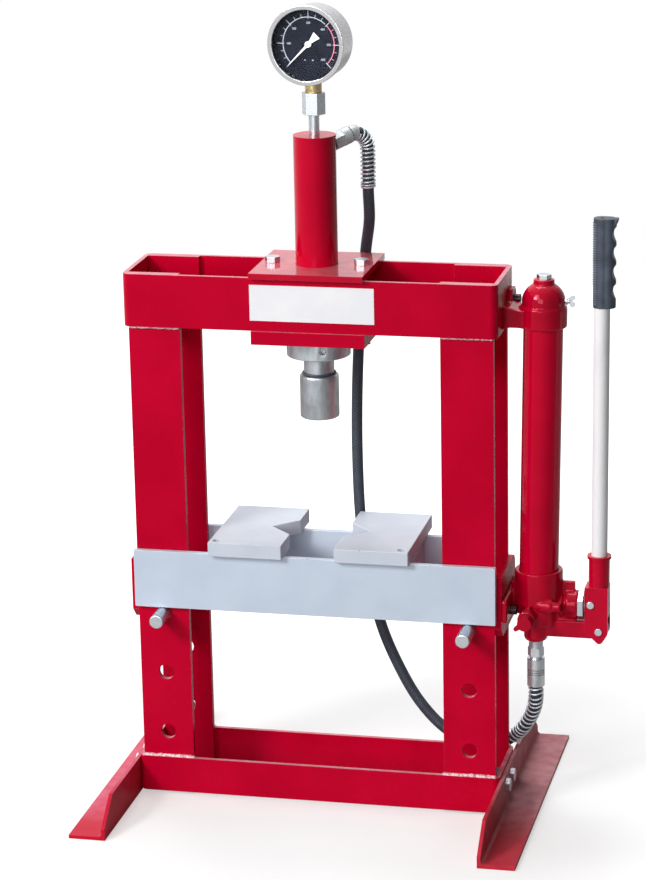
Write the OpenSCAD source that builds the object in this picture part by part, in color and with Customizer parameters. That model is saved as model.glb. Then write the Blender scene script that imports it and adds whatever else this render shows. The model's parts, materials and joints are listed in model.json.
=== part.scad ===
// Manual hydraulic bench press: a bolted and welded flat-bar frame with an upright
// ram, a height-adjustable bed on two pins, a side-mounted lever pump, a pressure
// gauge and one oil hose. Millimetres, +Z up, front towards -Y. The origin is on the
// ground under the middle of the whole press, feet and pump handle included.

/* [Frame] */
// Width of the frame over the ends of its two bands
frame_w = 500; // [400:1:620]
// Depth of the frame over the front and back of its bands
frame_d = 124; // [116:1:150]
// Height of the head band's top edge above the ground
frame_h = 731; // [600:1:900]
// Width of the flat bar used for the uprights
bar_w = 70; // [56:1:84]
// Thickness of the uprights
bar_t = 8; // [6:0.5:9.5]
// Wall of the head and base bands
band_t = 6; // [5:0.5:8]
// Outer corner radius of the bands
band_corner = 10; // [5:0.5:14]
// Height of the head band
head_band_h = 71; // [59:1:86]
// Height of the base band
base_band_h = 50; // [44:1:60]
// Gap between the base band and the ground
base_gap = 4; // [2:0.5:6]
// Thickness of the two side tie plates
tie_t = 9; // [7.5:0.5:11]
// Height of the tie plates' lower edge
tie_z = 250; // [230:1:300]
// Height of each tie plate
tie_h = 86; // [76:1:96]

/* [Feet] */
// Length of the angle feet
foot_l = 470; // [392:1:564]
// Leg width of the angle feet
foot_leg = 50; // [46:1:60]
// Thickness of the angle feet
foot_t = 5; // [4:0.5:7]
// Thread size of the foot bolts
foot_bolt_d = 10; // [8:1:12]
// Height of the foot bolts
foot_bolt_z = 36; // [30:1:39]

/* [Bed] */
// Diameter of the two bed pins
pin_d = 19; // [15:0.1:23]
// Length of the bed pins
pin_l = 175; // [160:1:210]
// Height of the lowest row of pin holes
pin_row_z = 89.5; // [80:0.5:108]
// Distance between the rows of pin holes
pin_pitch = 86; // [72:1:90]
// Height of the bed rails
rail_h = 80; // [67:1:96]
// Thickness of the bed rails
rail_t = 8; // [6.5:0.5:9.5]
// Gap between the rails and the uprights
rail_gap = 1.5; // [0.5:0.1:2.5]
// Thickness of the arbor plates
arbor_t = 19; // [16:0.5:23]
// Width of the arbor plates
arbor_w = 100; // [84:1:108]
// Length of the arbor plates from front to back
arbor_l = 170; // [150:1:200]
// Width of the V notch's mouth in each arbor plate
notch_w = 63; // [52:1:76]

/* [Cylinder] */
// Outside diameter of the cylinder tube
cyl_d = 56; // [52:0.5:60]
// Bore of the cylinder tube
cyl_bore = 44; // [42:0.5:47]
// Height of the cylinder above the top plate
cyl_rise = 171; // [145:1:205]
// Diameter of the ram's rod
rod_d = 40.5; // [36:0.5:41]
// Diameter of the pressing head on the rod
head_d = 52; // [46:0.5:60]
// Length of the pressing head
head_l = 59; // [49:1:70]
// Length of rod that shows above the pressing head at rest
rod_show = 26; // [20:1:31]
// Width of the two clamping plates
top_plate_w = 152; // [140:1:182]
// How far the top clamping plate reaches past the bands, front and back
top_plate_out = 9; // [2:0.5:14]
// Thickness of the top clamping plate
top_plate_t = 8; // [6:0.5:10]
// How far the lower clamping plate reaches past the bands, front and back
low_plate_out = 3; // [1:0.5:10]
// Thickness of the lower clamping plate
low_plate_t = 18; // [15:0.5:21]
// Diameter of the ring nut that holds the cylinder
ring_d = 85; // [78:0.5:92]
// Thickness of the ring nut
ring_t = 26; // [22:0.5:31]
// Thread size of the two clamp bolts
clamp_bolt_d = 12; // [10:1:14]

/* [Gauge] */
// Outside diameter of the gauge's bezel
bezel_d = 104; // [90:1:124]
// Depth of the gauge from bezel to back
gauge_depth = 45; // [38:1:54]
// Height of the gauge's hub above the cylinder
gauge_rise = 120; // [118:1:140]
// How far the dial is turned towards the left
gauge_turn = 7; // [0:1:20]
// Angle of the needle at zero, anticlockwise from the right
needle_zero = 225; // [180:1:260]

/* [Pump] */
// Distance of the pump's upright axis from the frame's end
pump_out = 44; // [40:0.5:46]
// Outside diameter of the oil reservoir
res_d = 52; // [46:0.5:56]
// Wall of the oil reservoir
res_wall = 3; // [2:0.5:4]
// Lean of the oil reservoir away from the frame, in degrees
res_lean = 1; // [0:0.1:1.5]
// Diameter of the pump's plunger
plunger_d = 18; // [14:0.5:19]
// Height of the plunger above the tie plates' lower edge
bore_rise = 35.6; // [34:0.1:42]
// Outside diameter of the lever's tube
lever_d = 21.3; // [18:0.1:24]
// Length of the lever's tube
lever_l = 494; // [415:1:590]
// Lean of the lever away from the frame at rest, in degrees
lever_lean = 0.3; // [0:0.1:1]
// Length of the rubber grip
grip_l = 118; // [105:1:141]
// Diameter of the two pins through the lever's fork
fork_pin_d = 10; // [8:0.5:11]

/* [Hose] */
// Outside diameter of the oil hose
hose_d = 15; // [12:0.5:16]
// Wire thickness of the coil springs that guard the hose ends
guard_wire = 2.6; // [1.6:0.1:3]
// Gap between the hose and the guard springs
guard_gap = 0.3; // [0.2:0.1:1]

/* [Hidden] */
$fn = 64;

// ---- Places that follow from the sizes above -------------------------------------
// Sideways places are measured from the ram's axis, which is the frame's middle.
lever_x = frame_w / 2 + pump_out + 80.5;
grip_reach = 20.4;
lever_end = lever_l + 3;
left_reach = frame_w / 2 + foot_leg;
right_reach = max(left_reach, lever_x + lever_end * sin(lever_lean) + grip_reach);
ram_x = (left_reach - right_reach) / 2;

// Running and seating clearances, each on a radius
run = 0.05;
seat = 0.1;
// How far a cutting tool runs past the face it opens
over = 1;

// Frame
end_x = frame_w / 2 - band_t;
bar_x = end_x - bar_w / 2;
bar_face = frame_d / 2 - band_t;
bar_y = bar_face - bar_t / 2;
bar_l = frame_h - base_gap;
head_band_z = frame_h - head_band_h;
pin_hole_d = pin_d + 2;
pin_holes = [for (i = [0:2]) pin_row_z + i * pin_pitch];
foot_bolt_y = [-36, 0];
foot_chamfer = [43, 34];

// Clamping plates, cylinder and ram
clamp_x = 60;
low_plate_z = head_band_z - low_plate_t;
top_plate_z = frame_h;
ring_z = low_plate_z - ring_t;
cyl_top = top_plate_z + top_plate_t + cyl_rise;
cap_t = 12;
piston_t = 24;
piston_top = cyl_top - 40;
head_z = ring_z - rod_show - head_l;
rod_seat = 20;
rod_z = head_z + head_l - rod_seat;
rod_bore = 24;
rod_floor = 15;
clamp_af = clamp_bolt_d * 1.5;

// Gauge
hub_z = cyl_top + gauge_rise;
gauge_back = 17;
gauge_front = gauge_back - gauge_depth;
case_d = bezel_d - 6;
pipe_d = 14;
pipe_top = cyl_top + 34;
gauge_nut_z = cyl_top + 27;
gauge_nut_h = 28.6;
stem_d = 22;

// Pump
pump_x = frame_w / 2 + pump_out;
bore_z = tie_z + bore_rise;
collar_d = res_d + 12;
collar_z = bore_z + 2.4;
collar_h = 45;
res_z = collar_z + collar_h - 10;
cap_z = head_band_z + 5;
cap_skirt = 28;
cap_r = res_d / 2 + 5;
cap_grip = 16;
cap_from = cap_z - res_z;
res_l = cap_from + cap_grip;
port_x = pump_x - 4;
port_face = bore_z - 53.4;
port_boss_d = 32;
port_boss_h = 40;
port_bore = 12;
flange_x = end_x + tie_t;
flange_t = 7;
pump_screw_y = 22;
pump_screw_z = bore_z - 5;
cap_screw_at = [34, cap_z + 27];
valve_x = pump_x - 10.5;
valve_z = bore_z - 11.9;
valve_d = 10;
valve_face = -44;
gland_x = pump_x + 53.7;
gland_t = 7.5;
plunger_x = pump_x + 12;
screw_d = 8;

// Lever and its fork
pivot_x = lever_x + 1.2;
pivot_z = bore_z - 32.6;
link_x = lever_x - 9.5;
link_z = bore_z + 4.4;
fork_in = plunger_d / 2 + 1;
cheek_t = 4;
fork_out = fork_in + cheek_t;
fork_left = lever_x - 17.5;
fork_right = lever_x + 13.2;
fork_top = bore_z + 27.9;
sleeve_d = lever_d + 6.7;
sleeve_h = 42.5;
grip_from = lever_end - grip_l;

// Bed, standing on the pins in the top row of holes
bed_pin_z = pin_holes[2];
rail_y = frame_d / 2 - band_t + rail_gap;
front_rail_l = frame_w - 7;
back_rail_l = frame_w - 20;
rail_z = bed_pin_z + pin_d / 2 + 0.3;
rail_top = rail_z + rail_h;
arbor_y = 9;
arbor_left = -140;
arbor_right = 32;
arbor_hole_d = 11;
spacer_x = 124;
spacer_h = 60;

// Colours
enamel = "#c5081f";
bed_grey = "#bfcad9";
zinc = "#c9ccd0";
steel = "#b4b0ac";
black = "#2b2f36";

// Hose fittings, upwards from the hose's lower end
ferrule_l = 39;
hose_nut_h = 25.2;

// Hose route from the elbow down behind the frame and up to the pump, from the ram's
// axis sideways, the frame's middle depth and the ground
chosen_route = [
  [58, 58, 883], [58, 58, 854], [58, 58, 824], [57, 66, 785], [48, 84, 742],
  [39, 96, 680], [32, 103, 610], [28, 104, 530], [27, 104, 450], [30, 103, 360],
  [40, 101, 280], [57.5, 99, 207], [81.5, 97, 149], [111, 94, 99], [147, 91, 62],
  [188, 87, 43], [228, 80, 49], [256, 68, 73], [273, 46, 101], [284, 22, 127],
  [289, 6, 148], [290, 0, 168]
];
hose_start = [58, 58, cyl_top - 27];
hose_end = [port_x, 0, port_face - hose_nut_h - ferrule_l];
// The route's ends follow the fittings when they move, and the points between share it
route_last = len(chosen_route) - 1;
start_shift = hose_start - chosen_route[0];
end_shift = hose_end - chosen_route[route_last];
route = [for (i = [0:route_last])
  let (share = i / route_last)
  chosen_route[i] + (1 - share) * start_shift + share * end_shift];
route_steps = 3;

// Upper hose end: an elbow from a port that leans up and points to the back right
elbow_d = 15;
elbow_r = 22;
port_tilt = 17;
port_angle = atan2(route[0].y, route[0].x);
elbow_out = norm([route[0].x, route[0].y]) - elbow_r;
elbow_from = elbow_out - elbow_r * sin(port_tilt);
port_z = route[0].z + elbow_r * cos(port_tilt) - elbow_from * tan(port_tilt);
port_d = 12;
port_af = 21;
port_hex_at = cyl_d / 2 + 1.5;
port_hex_h = 15;
collar_at = port_hex_at + port_hex_h;
collar_t = 11;
guard_d = hose_d + 2 * (guard_gap + guard_wire);
// How far round the bend the elbow's sleeve reaches, in degrees
sleeve_turn = 26;
// Where the sleeve begins past the collar's groove, in degrees round the bend
groove_turn = 3;
sleeve_l = elbow_from / cos(port_tilt) - collar_at - collar_t + elbow_r * sleeve_turn * PI / 180;

// ---- Points, curves and sweeps -----------------------------------------------------

function unit(v) = v / norm(v);

// Outline points that round the corner p between its neighbours a and b
function corner(a, p, b, r) =
  let (
    u = unit(a - p),
    v = unit(b - p),
    half = acos(u * v) / 2,
    c = p + unit(u + v) * r / sin(half),
    from = p + u * r / tan(half) - c,
    to = p + v * r / tan(half) - c,
    start = atan2(from.y, from.x),
    turn = (atan2(to.y, to.x) - start + 540) % 360 - 180,
    n = ceil(abs(turn) / 12)
  )
  [for (i = [0:n]) c + r * [cos(start + turn * i / n), sin(start + turn * i / n)]];

// An outline with each corner rounded to its own radius, 0 for a sharp one
function rounded(points, radii) =
  let (n = len(points))
  [for (i = [0:n - 1])
    each radii[i] > 0
      ? corner(points[(i + n - 1) % n], points[i], points[(i + 1) % n], radii[i])
      : [points[i]]];

// A smooth curve through the points p, from p[i] at t = 0 to p[i + 1] at t = 1
function spline(p, i, t) =
  let (
    a = i > 0 ? p[i - 1] : 2 * p[0] - p[1],
    b = p[i],
    c = p[i + 1],
    d = i + 2 < len(p) ? p[i + 2] : 2 * c - b
  )
  (2 * b + (c - a) * t + (2 * a - 5 * b + 4 * c - d) * t ^ 2
    + (3 * b - a - 3 * c + d) * t ^ 3) / 2;

function tangents(path, first, last) =
  let (n = len(path) - 1)
  [for (i = [0:n]) i == 0 ? first : i == n ? last : unit(path[i + 1] - path[i - 1])];

// Length along the path up to each of its points
function lengths(path, i = 0, done = 0) =
  i == len(path) ? []
  : let (now = i == 0 ? 0 : done + norm(path[i] - path[i - 1]))
    concat([now], lengths(path, i + 1, now));

hose_path = concat(
  [for (i = [0:len(route) - 2], k = [0:route_steps - 1]) spline(route, i, k / route_steps)],
  [route[len(route) - 1]]
);
hose_dirs = tangents(hose_path, [0, 0, -1], [0, 0, 1]);
hose_at = lengths(hose_path);
hose_l = hose_at[len(hose_at) - 1];
// Sideways direction that every ring of the hose starts from
function sideways(dirs) = [for (t = dirs) unit(cross([0, 1, 0], t))];

// Line from the elbow's collar, round the bend and down into the hose
port_dir = [
  cos(port_tilt) * cos(port_angle), cos(port_tilt) * sin(port_angle), sin(port_tilt)
];
level_dir = [cos(port_angle), sin(port_angle), 0];
bend_centre = route[0] - elbow_r * level_dir;
bend_steps = 8;
guard_from = [0, 0, port_z] + (collar_at + collar_t) * port_dir;
bend_line = concat(
  [guard_from],
  [for (i = [0:bend_steps - 1])
    let (a = (90 + port_tilt) * (1 - i / bend_steps))
    bend_centre + elbow_r * (cos(a) * level_dir + [0, 0, sin(a)])],
  hose_path
);
bend_dirs = tangents(bend_line, port_dir, [0, 0, 1]);

// The row of a list at a place that may fall between two of its rows
function blend_at(list, f) =
  let (i = min(floor(f), len(list) - 2))
  list[i] + (f - i) * (list[i + 1] - list[i]);

// Points of a coil around a line, from one length along it to another, with extra turns
// drawn together over the stretch at each end
coil_steps = 10;
function coil(line, dirs, from, to, pitch, extra, stretch) =
  let (
    l = to - from,
    turns = [for (s = [0:l / 100:l + l / 200])
      [s / pitch + extra[0] * min(s / stretch, 1) + extra[1] * max((s - l) / stretch + 1, 0), from + s]],
    n = floor(turns[100][0] * coil_steps),
    r = (guard_d - guard_wire) / 2,
    at = lengths(line),
    index = [for (i = [0:len(at) - 1]) [at[i], i]],
    sides = sideways(dirs)
  )
  [for (k = [0:n])
    let (
      f = lookup(lookup(k / coil_steps, turns), index),
      t = unit(blend_at(dirs, f)),
      side = unit(blend_at(sides, f)),
      a = 360 * k / coil_steps,
      out = unit(cos(a) * side + sin(a) * cross(t, side))
    )
    [blend_at(line, f) + r * out, out]];

// A round bar of radius r along a path, with rings that start at the side vectors
module sweep(path, dirs, side, r, sides) {
  rings = len(path);
  points = [for (i = [0:rings - 1])
    let (b = unit(cross(dirs[i], side[i])), n = cross(b, dirs[i]))
    for (k = [0:sides - 1]) path[i] + r * (cos(360 * k / sides) * n + sin(360 * k / sides) * b)];
  skin = [for (i = [0:rings - 2], k = [0:sides - 1])
    let (next = (k + 1) % sides, here = i * sides, there = here + sides)
    each [[here + k, there + k, there + next], [here + k, there + next, here + next]]];
  start = [for (k = [0:sides - 1]) k];
  end = [for (k = [sides - 1:-1:0]) (rings - 1) * sides + k];
  polyhedron(points = points, faces = concat([start, end], skin), convexity = 10);
}

// ---- Building blocks -----------------------------------------------------------------

// Places sideways measurements on the ram's axis
module at_ram() { translate([ram_x, 0, 0]) children(); }

module at_pump() { translate([ram_x + pump_x, 0, bore_z]) children(); }

// The gauge's own frame: hub at the origin, dial towards -Y
module at_gauge() { translate([ram_x, 0, hub_z]) rotate(-gauge_turn) children(); }

// The upper hose port's axis, running out along +X
module at_port() { translate([ram_x, 0, port_z]) rotate([0, -port_tilt, port_angle]) children(); }

// Builds the right-hand piece on either side of the frame
module on_side(side) {
  if (side > 0) children();
  else mirror([1, 0, 0]) children();
}

// Extrudes a (y, z) outline along X, from x to x + t
module along_x(x, t) { translate([x, 0, 0]) rotate([90, 0, 90]) linear_extrude(t) children(); }

// Extrudes an (x, z) outline along Y, from y to y + t
module along_y(y, t) { translate([0, y + t, 0]) rotate([90, 0, 0]) linear_extrude(t) children(); }

module cyl_x(x, l, d) { translate([x, 0, 0]) rotate([0, 90, 0]) cylinder(d = d, h = l); }

module cyl_y(y, l, d) { translate([0, y, 0]) rotate([-90, 0, 0]) cylinder(d = d, h = l); }

// Turns an (r, depth) outline about the gauge's axis, depth towards the back
module turned_y() { rotate([-90, 0, 0]) rotate_extrude() children(); }

module hex(af, h) { cylinder(d = af / cos(30), h = h, $fn = 6); }

// Hexagon bolt: the head stands on z = 0 and the shank hangs below it
module hex_bolt(d, af, head_h, shank) {
  hex(af, head_h);
  translate([0, 0, -shank]) cylinder(d = d, h = shank + head_h / 2);
}

module hex_nut(d, af, h) {
  difference() {
    hex(af, h);
    translate([0, 0, -over]) cylinder(d = d + 2 * seat, h = h + 2 * over);
  }
}

// Hexagon socket screw: the head stands on z = 0
module socket_screw(d, shank) {
  difference() {
    union() {
      cylinder(d = d * 1.6, h = d);
      translate([0, 0, -shank]) cylinder(d = d, h = shank + over);
    }
    translate([0, 0, d / 2]) hex(d * 0.75, d);
  }
}

// Flat rectangle with true round corners
module rounded_rect(w, d, r) {
  square([w - 2 * r, d], center = true);
  square([w, d - 2 * r], center = true);
  for (x = [-1, 1], y = [-1, 1])
    translate([x * (w / 2 - r), y * (d / 2 - r)]) circle(r);
}

// Upright round boss with its lower edge rounded
module round_boss(d, h, round) {
  rotate_extrude() {
    square([d / 2 - round, h]);
    translate([0, round]) square([d / 2, h - round]);
    translate([d / 2 - round, round]) circle(round);
  }
}

// ---- Frame ---------------------------------------------------------------------------

// Closed band that the uprights are welded into
module band(z, h) {
  translate([0, 0, z]) linear_extrude(h) difference() {
    rounded_rect(frame_w, frame_d, band_corner);
    square([2 * end_x, 2 * bar_face], center = true);
  }
}

module head_band() {
  color(enamel) at_ram() difference() {
    band(head_band_z, head_band_h);
    translate([0, cap_screw_at.x, cap_screw_at.y]) cyl_x(end_x - over, band_t + 2 * over, screw_d + 2 * seat);
  }
}

module foot_bolt_holes() {
  for (y = foot_bolt_y)
    translate([0, y, foot_bolt_z])
      cyl_x(end_x - over, band_t + foot_t + 2 * over, foot_bolt_d + 1);
}

module base_band() {
  color(enamel) at_ram() difference() {
    band(base_gap, base_band_h);
    for (side = [-1, 1]) on_side(side) foot_bolt_holes();
  }
}

module bar(side, face) {
  color(enamel) at_ram() difference() {
    translate([side * bar_x - bar_w / 2, face * bar_y - bar_t / 2, base_gap])
      cube([bar_w, bar_t, bar_l]);
    for (z = pin_holes)
      translate([side * bar_x, 0, z]) cyl_y(face * bar_y - bar_t, 2 * bar_t, pin_hole_d);
  }
}

module tie_plate_blank() {
  low = tie_z;
  high = tie_z + tie_h;
  along_x(end_x, tie_t)
    polygon(rounded(
      [[-bar_face + 14, low], [bar_face, low], [bar_face, high], [-bar_face, high], [-bar_face, low + 14]],
      [0, 0, 15, 0, 0]
    ));
}

module left_tie_plate() { color(enamel) at_ram() on_side(-1) tie_plate_blank(); }

module right_tie_plate() {
  color(enamel) at_ram() difference() {
    tie_plate_blank();
    for (side = [-1, 1])
      translate([0, side * pump_screw_y, pump_screw_z])
        cyl_x(end_x - over, tie_t + 2 * over, screw_d + 2 * seat);
  }
}

// Angle foot: its upright leg is bolted to the base band's end
module foot(side) {
  x = frame_w / 2;
  half = foot_l / 2;
  cut = foot_chamfer;
  fillet = 5;
  color(enamel) at_ram() on_side(side) difference() {
    union() {
      along_x(x, foot_t) polygon([
        [-half, 0], [half, 0], [half, foot_leg - cut.y], [half - cut.x, foot_leg],
        [-half + cut.x, foot_leg], [-half, foot_leg - cut.y]
      ]);
      translate([x, -half, 0]) cube([foot_leg, foot_l, foot_t]);
      along_y(-half, foot_l) difference() {
        translate([x + foot_t - over, foot_t - over]) square(fillet + over);
        translate([x + foot_t + fillet, foot_t + fillet]) circle(fillet);
      }
    }
    foot_bolt_holes();
  }
}

module at_foot_bolts(x) {
  at_ram() for (side = [-1, 1], y = foot_bolt_y)
    on_side(side) translate([x, y, foot_bolt_z]) rotate([0, 90, 0]) children();
}

foot_bolt_af = foot_bolt_d * 1.7;
foot_nut_h = foot_bolt_d * 0.8;

module foot_bolts() {
  color(zinc) at_foot_bolts(frame_w / 2 + foot_t)
    hex_bolt(foot_bolt_d, foot_bolt_af, foot_bolt_d * 0.64, foot_t + band_t + foot_nut_h + 3);
}

module foot_nuts() {
  color(zinc) at_foot_bolts(end_x - foot_nut_h) hex_nut(foot_bolt_d, foot_bolt_af, foot_nut_h);
}

// ---- Cylinder and ram ------------------------------------------------------------------

// Clamping plate with the cylinder's hole and the two bolt holes
module clamp_plate(z, d, t) {
  color(enamel) at_ram() translate([0, 0, z]) difference() {
    translate([-top_plate_w / 2, -d / 2, 0]) cube([top_plate_w, d, t]);
    translate([0, 0, -over]) cylinder(d = cyl_d + 2 * seat, h = t + 2 * over);
    for (x = [-clamp_x, clamp_x])
      translate([x, 0, -over]) cylinder(d = clamp_bolt_d + 1, h = t + 2 * over);
  }
}

module top_plate() { clamp_plate(top_plate_z, frame_d + 2 * top_plate_out, top_plate_t); }

module lower_plate() { clamp_plate(low_plate_z, frame_d + 2 * low_plate_out, low_plate_t); }

clamp_nut_h = clamp_bolt_d * 0.85;

module clamp_bolts() {
  shank = top_plate_t + head_band_h + low_plate_t + clamp_nut_h + 3;
  color(zinc) at_ram() for (x = [-clamp_x, clamp_x])
    translate([x, 0, top_plate_z + top_plate_t])
      hex_bolt(clamp_bolt_d, clamp_af, clamp_bolt_d * 0.63, shank);
}

module clamp_nuts() {
  color(zinc) at_ram() for (x = [-clamp_x, clamp_x])
    translate([x, 0, low_plate_z - clamp_nut_h]) hex_nut(clamp_bolt_d, clamp_af, clamp_nut_h);
}

// Bare white plate on the front of the head band
module label_plate() {
  size = [166, 0.8, 48];
  left = -77;
  rise = 14;
  color("white") at_ram() translate([left, -frame_d / 2 - size.y, head_band_z + rise]) cube(size);
}

// Closed at the top, with the pipe's hole and the hose port's, which has a flat seat cut round it
module cylinder_tube() {
  inside = cyl_top - cap_t - ring_z;
  color(enamel) difference() {
    at_ram() difference() {
      translate([0, 0, ring_z]) cylinder(d = cyl_d, h = cyl_top - ring_z);
      translate([0, 0, ring_z - over]) cylinder(d = cyl_bore, h = inside + over);
      translate([0, 0, ring_z + inside - over]) cylinder(d = pipe_d + 2 * seat, h = cap_t + 2 * over);
    }
    at_port() {
      cyl_x(cyl_bore / 4, cyl_d, port_d + 2 * seat);
      cyl_x(port_hex_at, cyl_d, port_af / cos(30) + 2 * seat);
    }
  }
}

guide_h = 25;

module rod_guide() {
  color(steel) at_ram() translate([0, 0, ring_z]) difference() {
    cylinder(d = cyl_bore - 2 * seat, h = guide_h);
    translate([0, 0, -over]) cylinder(d = rod_d + 2 * run, h = guide_h + 2 * over);
  }
}

// Ring nut under the lower plate, with four holes for a pin spanner
module ring_nut() {
  chamfer = 1;
  r = ring_d / 2;
  color(steel) at_ram() translate([0, 0, ring_z]) difference() {
    rotate_extrude() polygon([
      [cyl_d / 2 + seat, 0], [r - chamfer, 0], [r, chamfer],
      [r, ring_t - chamfer], [r - chamfer, ring_t], [cyl_d / 2 + seat, ring_t]
    ]);
    for (i = [0:3])
      translate([0, 0, ring_t / 2]) rotate(20 + 90 * i) cyl_x(r - 10, 12, 9);
  }
}

module piston() {
  color(steel) at_ram() translate([0, 0, piston_top - piston_t]) difference() {
    cylinder(d = cyl_bore - 2 * run, h = piston_t);
    translate([0, 0, -over]) cylinder(d = rod_bore, h = piston_t + 2 * over);
  }
}

module ram_rod() {
  l = piston_top - piston_t - rod_z;
  color(steel) at_ram() translate([0, 0, rod_z]) difference() {
    cylinder(d = rod_d, h = l);
    translate([0, 0, rod_floor]) cylinder(d = rod_bore, h = l);
  }
}

// Pressing head: chamfered below, round-shouldered above
module ram_head() {
  r = head_d / 2;
  shoulder = 4;
  chamfer = 1.5;
  color(steel) at_ram() translate([0, 0, head_z]) difference() {
    rotate_extrude() {
      polygon([[0, 0], [r - chamfer, 0], [r, chamfer], [r, head_l - shoulder], [0, head_l - shoulder]]);
      translate([0, chamfer]) square([r - shoulder, head_l - chamfer]);
      translate([r - shoulder, head_l - shoulder]) circle(shoulder);
    }
    translate([0, 0, head_l - rod_seat]) cylinder(d = rod_d + 2 * seat, h = rod_seat + over);
  }
}

// Rubber ring round the rod, lying on the pressing head
module head_ring() {
  section = 2.4;
  color(black) at_ram() translate([0, 0, head_z + head_l + section / 2])
    rotate_extrude() translate([rod_d / 2 + seat + section / 2, 0]) circle(d = section);
}

// Closely wound return spring inside the rod, as a plain sleeve
module return_spring() {
  z = rod_z + rod_floor;
  l = cyl_top - cap_t - z;
  color(steel) at_ram() translate([0, 0, z]) difference() {
    cylinder(d = rod_bore - 4, h = l);
    translate([0, 0, -over]) cylinder(d = rod_bore - 10, h = l + 2 * over);
  }
}

// ---- Gauge -------------------------------------------------------------------------------

module gauge_pipe() {
  z = cyl_top - 12;
  color(zinc) at_ram() translate([0, 0, z]) difference() {
    cylinder(d = pipe_d, h = pipe_top - z);
    translate([0, 0, -over]) cylinder(d = 5, h = pipe_top - z + 2 * over);
  }
}

spigot_d = 12;
spigot_l = 14;

module gauge_nut() {
  color(zinc) at_ram() translate([0, 0, gauge_nut_z]) difference() {
    hex(27, gauge_nut_h);
    translate([0, 0, -over])
      cylinder(d = pipe_d + 2 * seat, h = pipe_top - gauge_nut_z + over);
    translate([0, 0, gauge_nut_h - spigot_l])
      cylinder(d = spigot_d + 2 * seat, h = spigot_l + over);
  }
}

// Brass connector that reaches up through the bottom of the case
module gauge_stem() {
  z = gauge_nut_z + gauge_nut_h;
  color("goldenrod") at_ram() {
    translate([0, 0, z - spigot_l + 1]) cylinder(d = spigot_d, h = spigot_l);
    translate([0, 0, z]) cylinder(d = stem_d, h = hub_z - case_d / 2 + 10 - z);
  }
}

case_wall = 2;
case_front = gauge_front + 4;

module gauge_case() {
  r = case_d / 2;
  color(steel) difference() {
    at_gauge() turned_y() difference() {
      translate([0, case_front]) square([r, gauge_back - case_front]);
      translate([0, case_front - over]) square([r - case_wall, gauge_back - case_front - case_wall + over]);
    }
    at_ram() translate([0, 0, hub_z - case_d]) cylinder(d = stem_d + 2 * seat, h = case_d / 2 + 15);
  }
}

module gauge_bezel() {
  r = bezel_d / 2;
  color(steel) at_gauge() turned_y() {
    translate([r - 6, gauge_front]) square([6, case_front - gauge_front]);
    translate([case_d / 2 + seat, gauge_front]) square([r - case_d / 2 - seat, 9]);
  }
}

lens_t = 2.5;
dial_y = case_front + 10;
dial_r = case_d / 2 - case_wall - seat;
spindle_d = 4;

module gauge_lens() {
  color("white", 0.3) at_gauge() turned_y() translate([0, case_front]) square([dial_r, lens_t]);
}

module gauge_dial() {
  color(black) at_gauge() turned_y()
    translate([spindle_d / 2 + 0.3, dial_y]) square([dial_r - spindle_d / 2 - 0.3, 1]);
}

// Needle with a flared tail and a hub, on its spindle through the dial
module gauge_needle() {
  color("white") at_gauge() {
    along_y(dial_y - 3, 0.8) rotate(needle_zero)
      polygon([[38, 0.3], [38, -0.3], [0, -1.6], [-4, -1.8], [-17, -5.6], [-17, 5.6], [-4, 1.8], [0, 1.6]]);
    cyl_y(dial_y - 4, 3.5, 8);
    cyl_y(dial_y - 1, 8, spindle_d);
  }
}

// ---- Hose and its fittings -----------------------------------------------------------------

// Screwed port fitting with its hexagon against the cylinder
module port_adapter() {
  color(zinc) at_port() {
    cyl_x(cyl_d / 2 - 5, port_hex_at - cyl_d / 2 + 6, port_d);
    rotate([0, 90, 0]) translate([0, 0, port_hex_at]) hex(port_af, port_hex_h);
  }
}

// Bent tube with its swivel collar, ending straight down where the hose begins.
// Past a groove, a sleeve as thick as the guard spring covers the start of the bend.
module hose_elbow() {
  from = elbow_from / cos(port_tilt);
  bend = 90 + port_tilt;
  color(zinc) {
    at_port() {
      cyl_x(collar_at, collar_t, 23);
      cyl_x(collar_at, from - collar_at, elbow_d);
    }
    at_ram() rotate(port_angle) translate([elbow_out, 0, route[0].z]) rotate([90, 0, 0]) {
      rotate_extrude(angle = bend) translate([elbow_r, 0]) circle(d = elbow_d);
      rotate(bend - sleeve_turn)
        rotate_extrude(angle = sleeve_turn - groove_turn) translate([elbow_r, 0]) circle(d = guard_d);
    }
  }
}

module hose() {
  color(black) at_ram() sweep(hose_path, hose_dirs, sideways(hose_dirs), hose_d / 2, 10);
}

// Coil spring that keeps the hose from kinking at a fitting
module guard(line, line_dirs, from, to, pitch, extra, stretch) {
  wound = coil(line, line_dirs, from, to, pitch, extra, stretch);
  path = [for (p = wound) p[0]];
  out = [for (p = wound) p[1]];
  n = len(path) - 1;
  dirs = tangents(path, unit(path[1] - path[0]), unit(path[n] - path[n - 1]));
  color(zinc) at_ram() sweep(path, dirs, out, guard_wire / 2, 6);
}

module upper_guard() { guard(bend_line, bend_dirs, sleeve_l + 2.5, 94.5, 5.6, [0, 1], 6); }

module lower_guard() { guard(hose_path, hose_dirs, hose_l - 140, hose_l - 1.5, 12.5, [1.6, 1.6], 30); }

module hose_ferrule() {
  r = 11.7;
  groove = 1.2;
  color(zinc) at_ram() translate(hose_end) rotate_extrude() difference() {
    square([r, ferrule_l]);
    for (z = [17, 20, 23]) translate([r - groove / 2, z]) square([over, groove]);
  }
}

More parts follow.
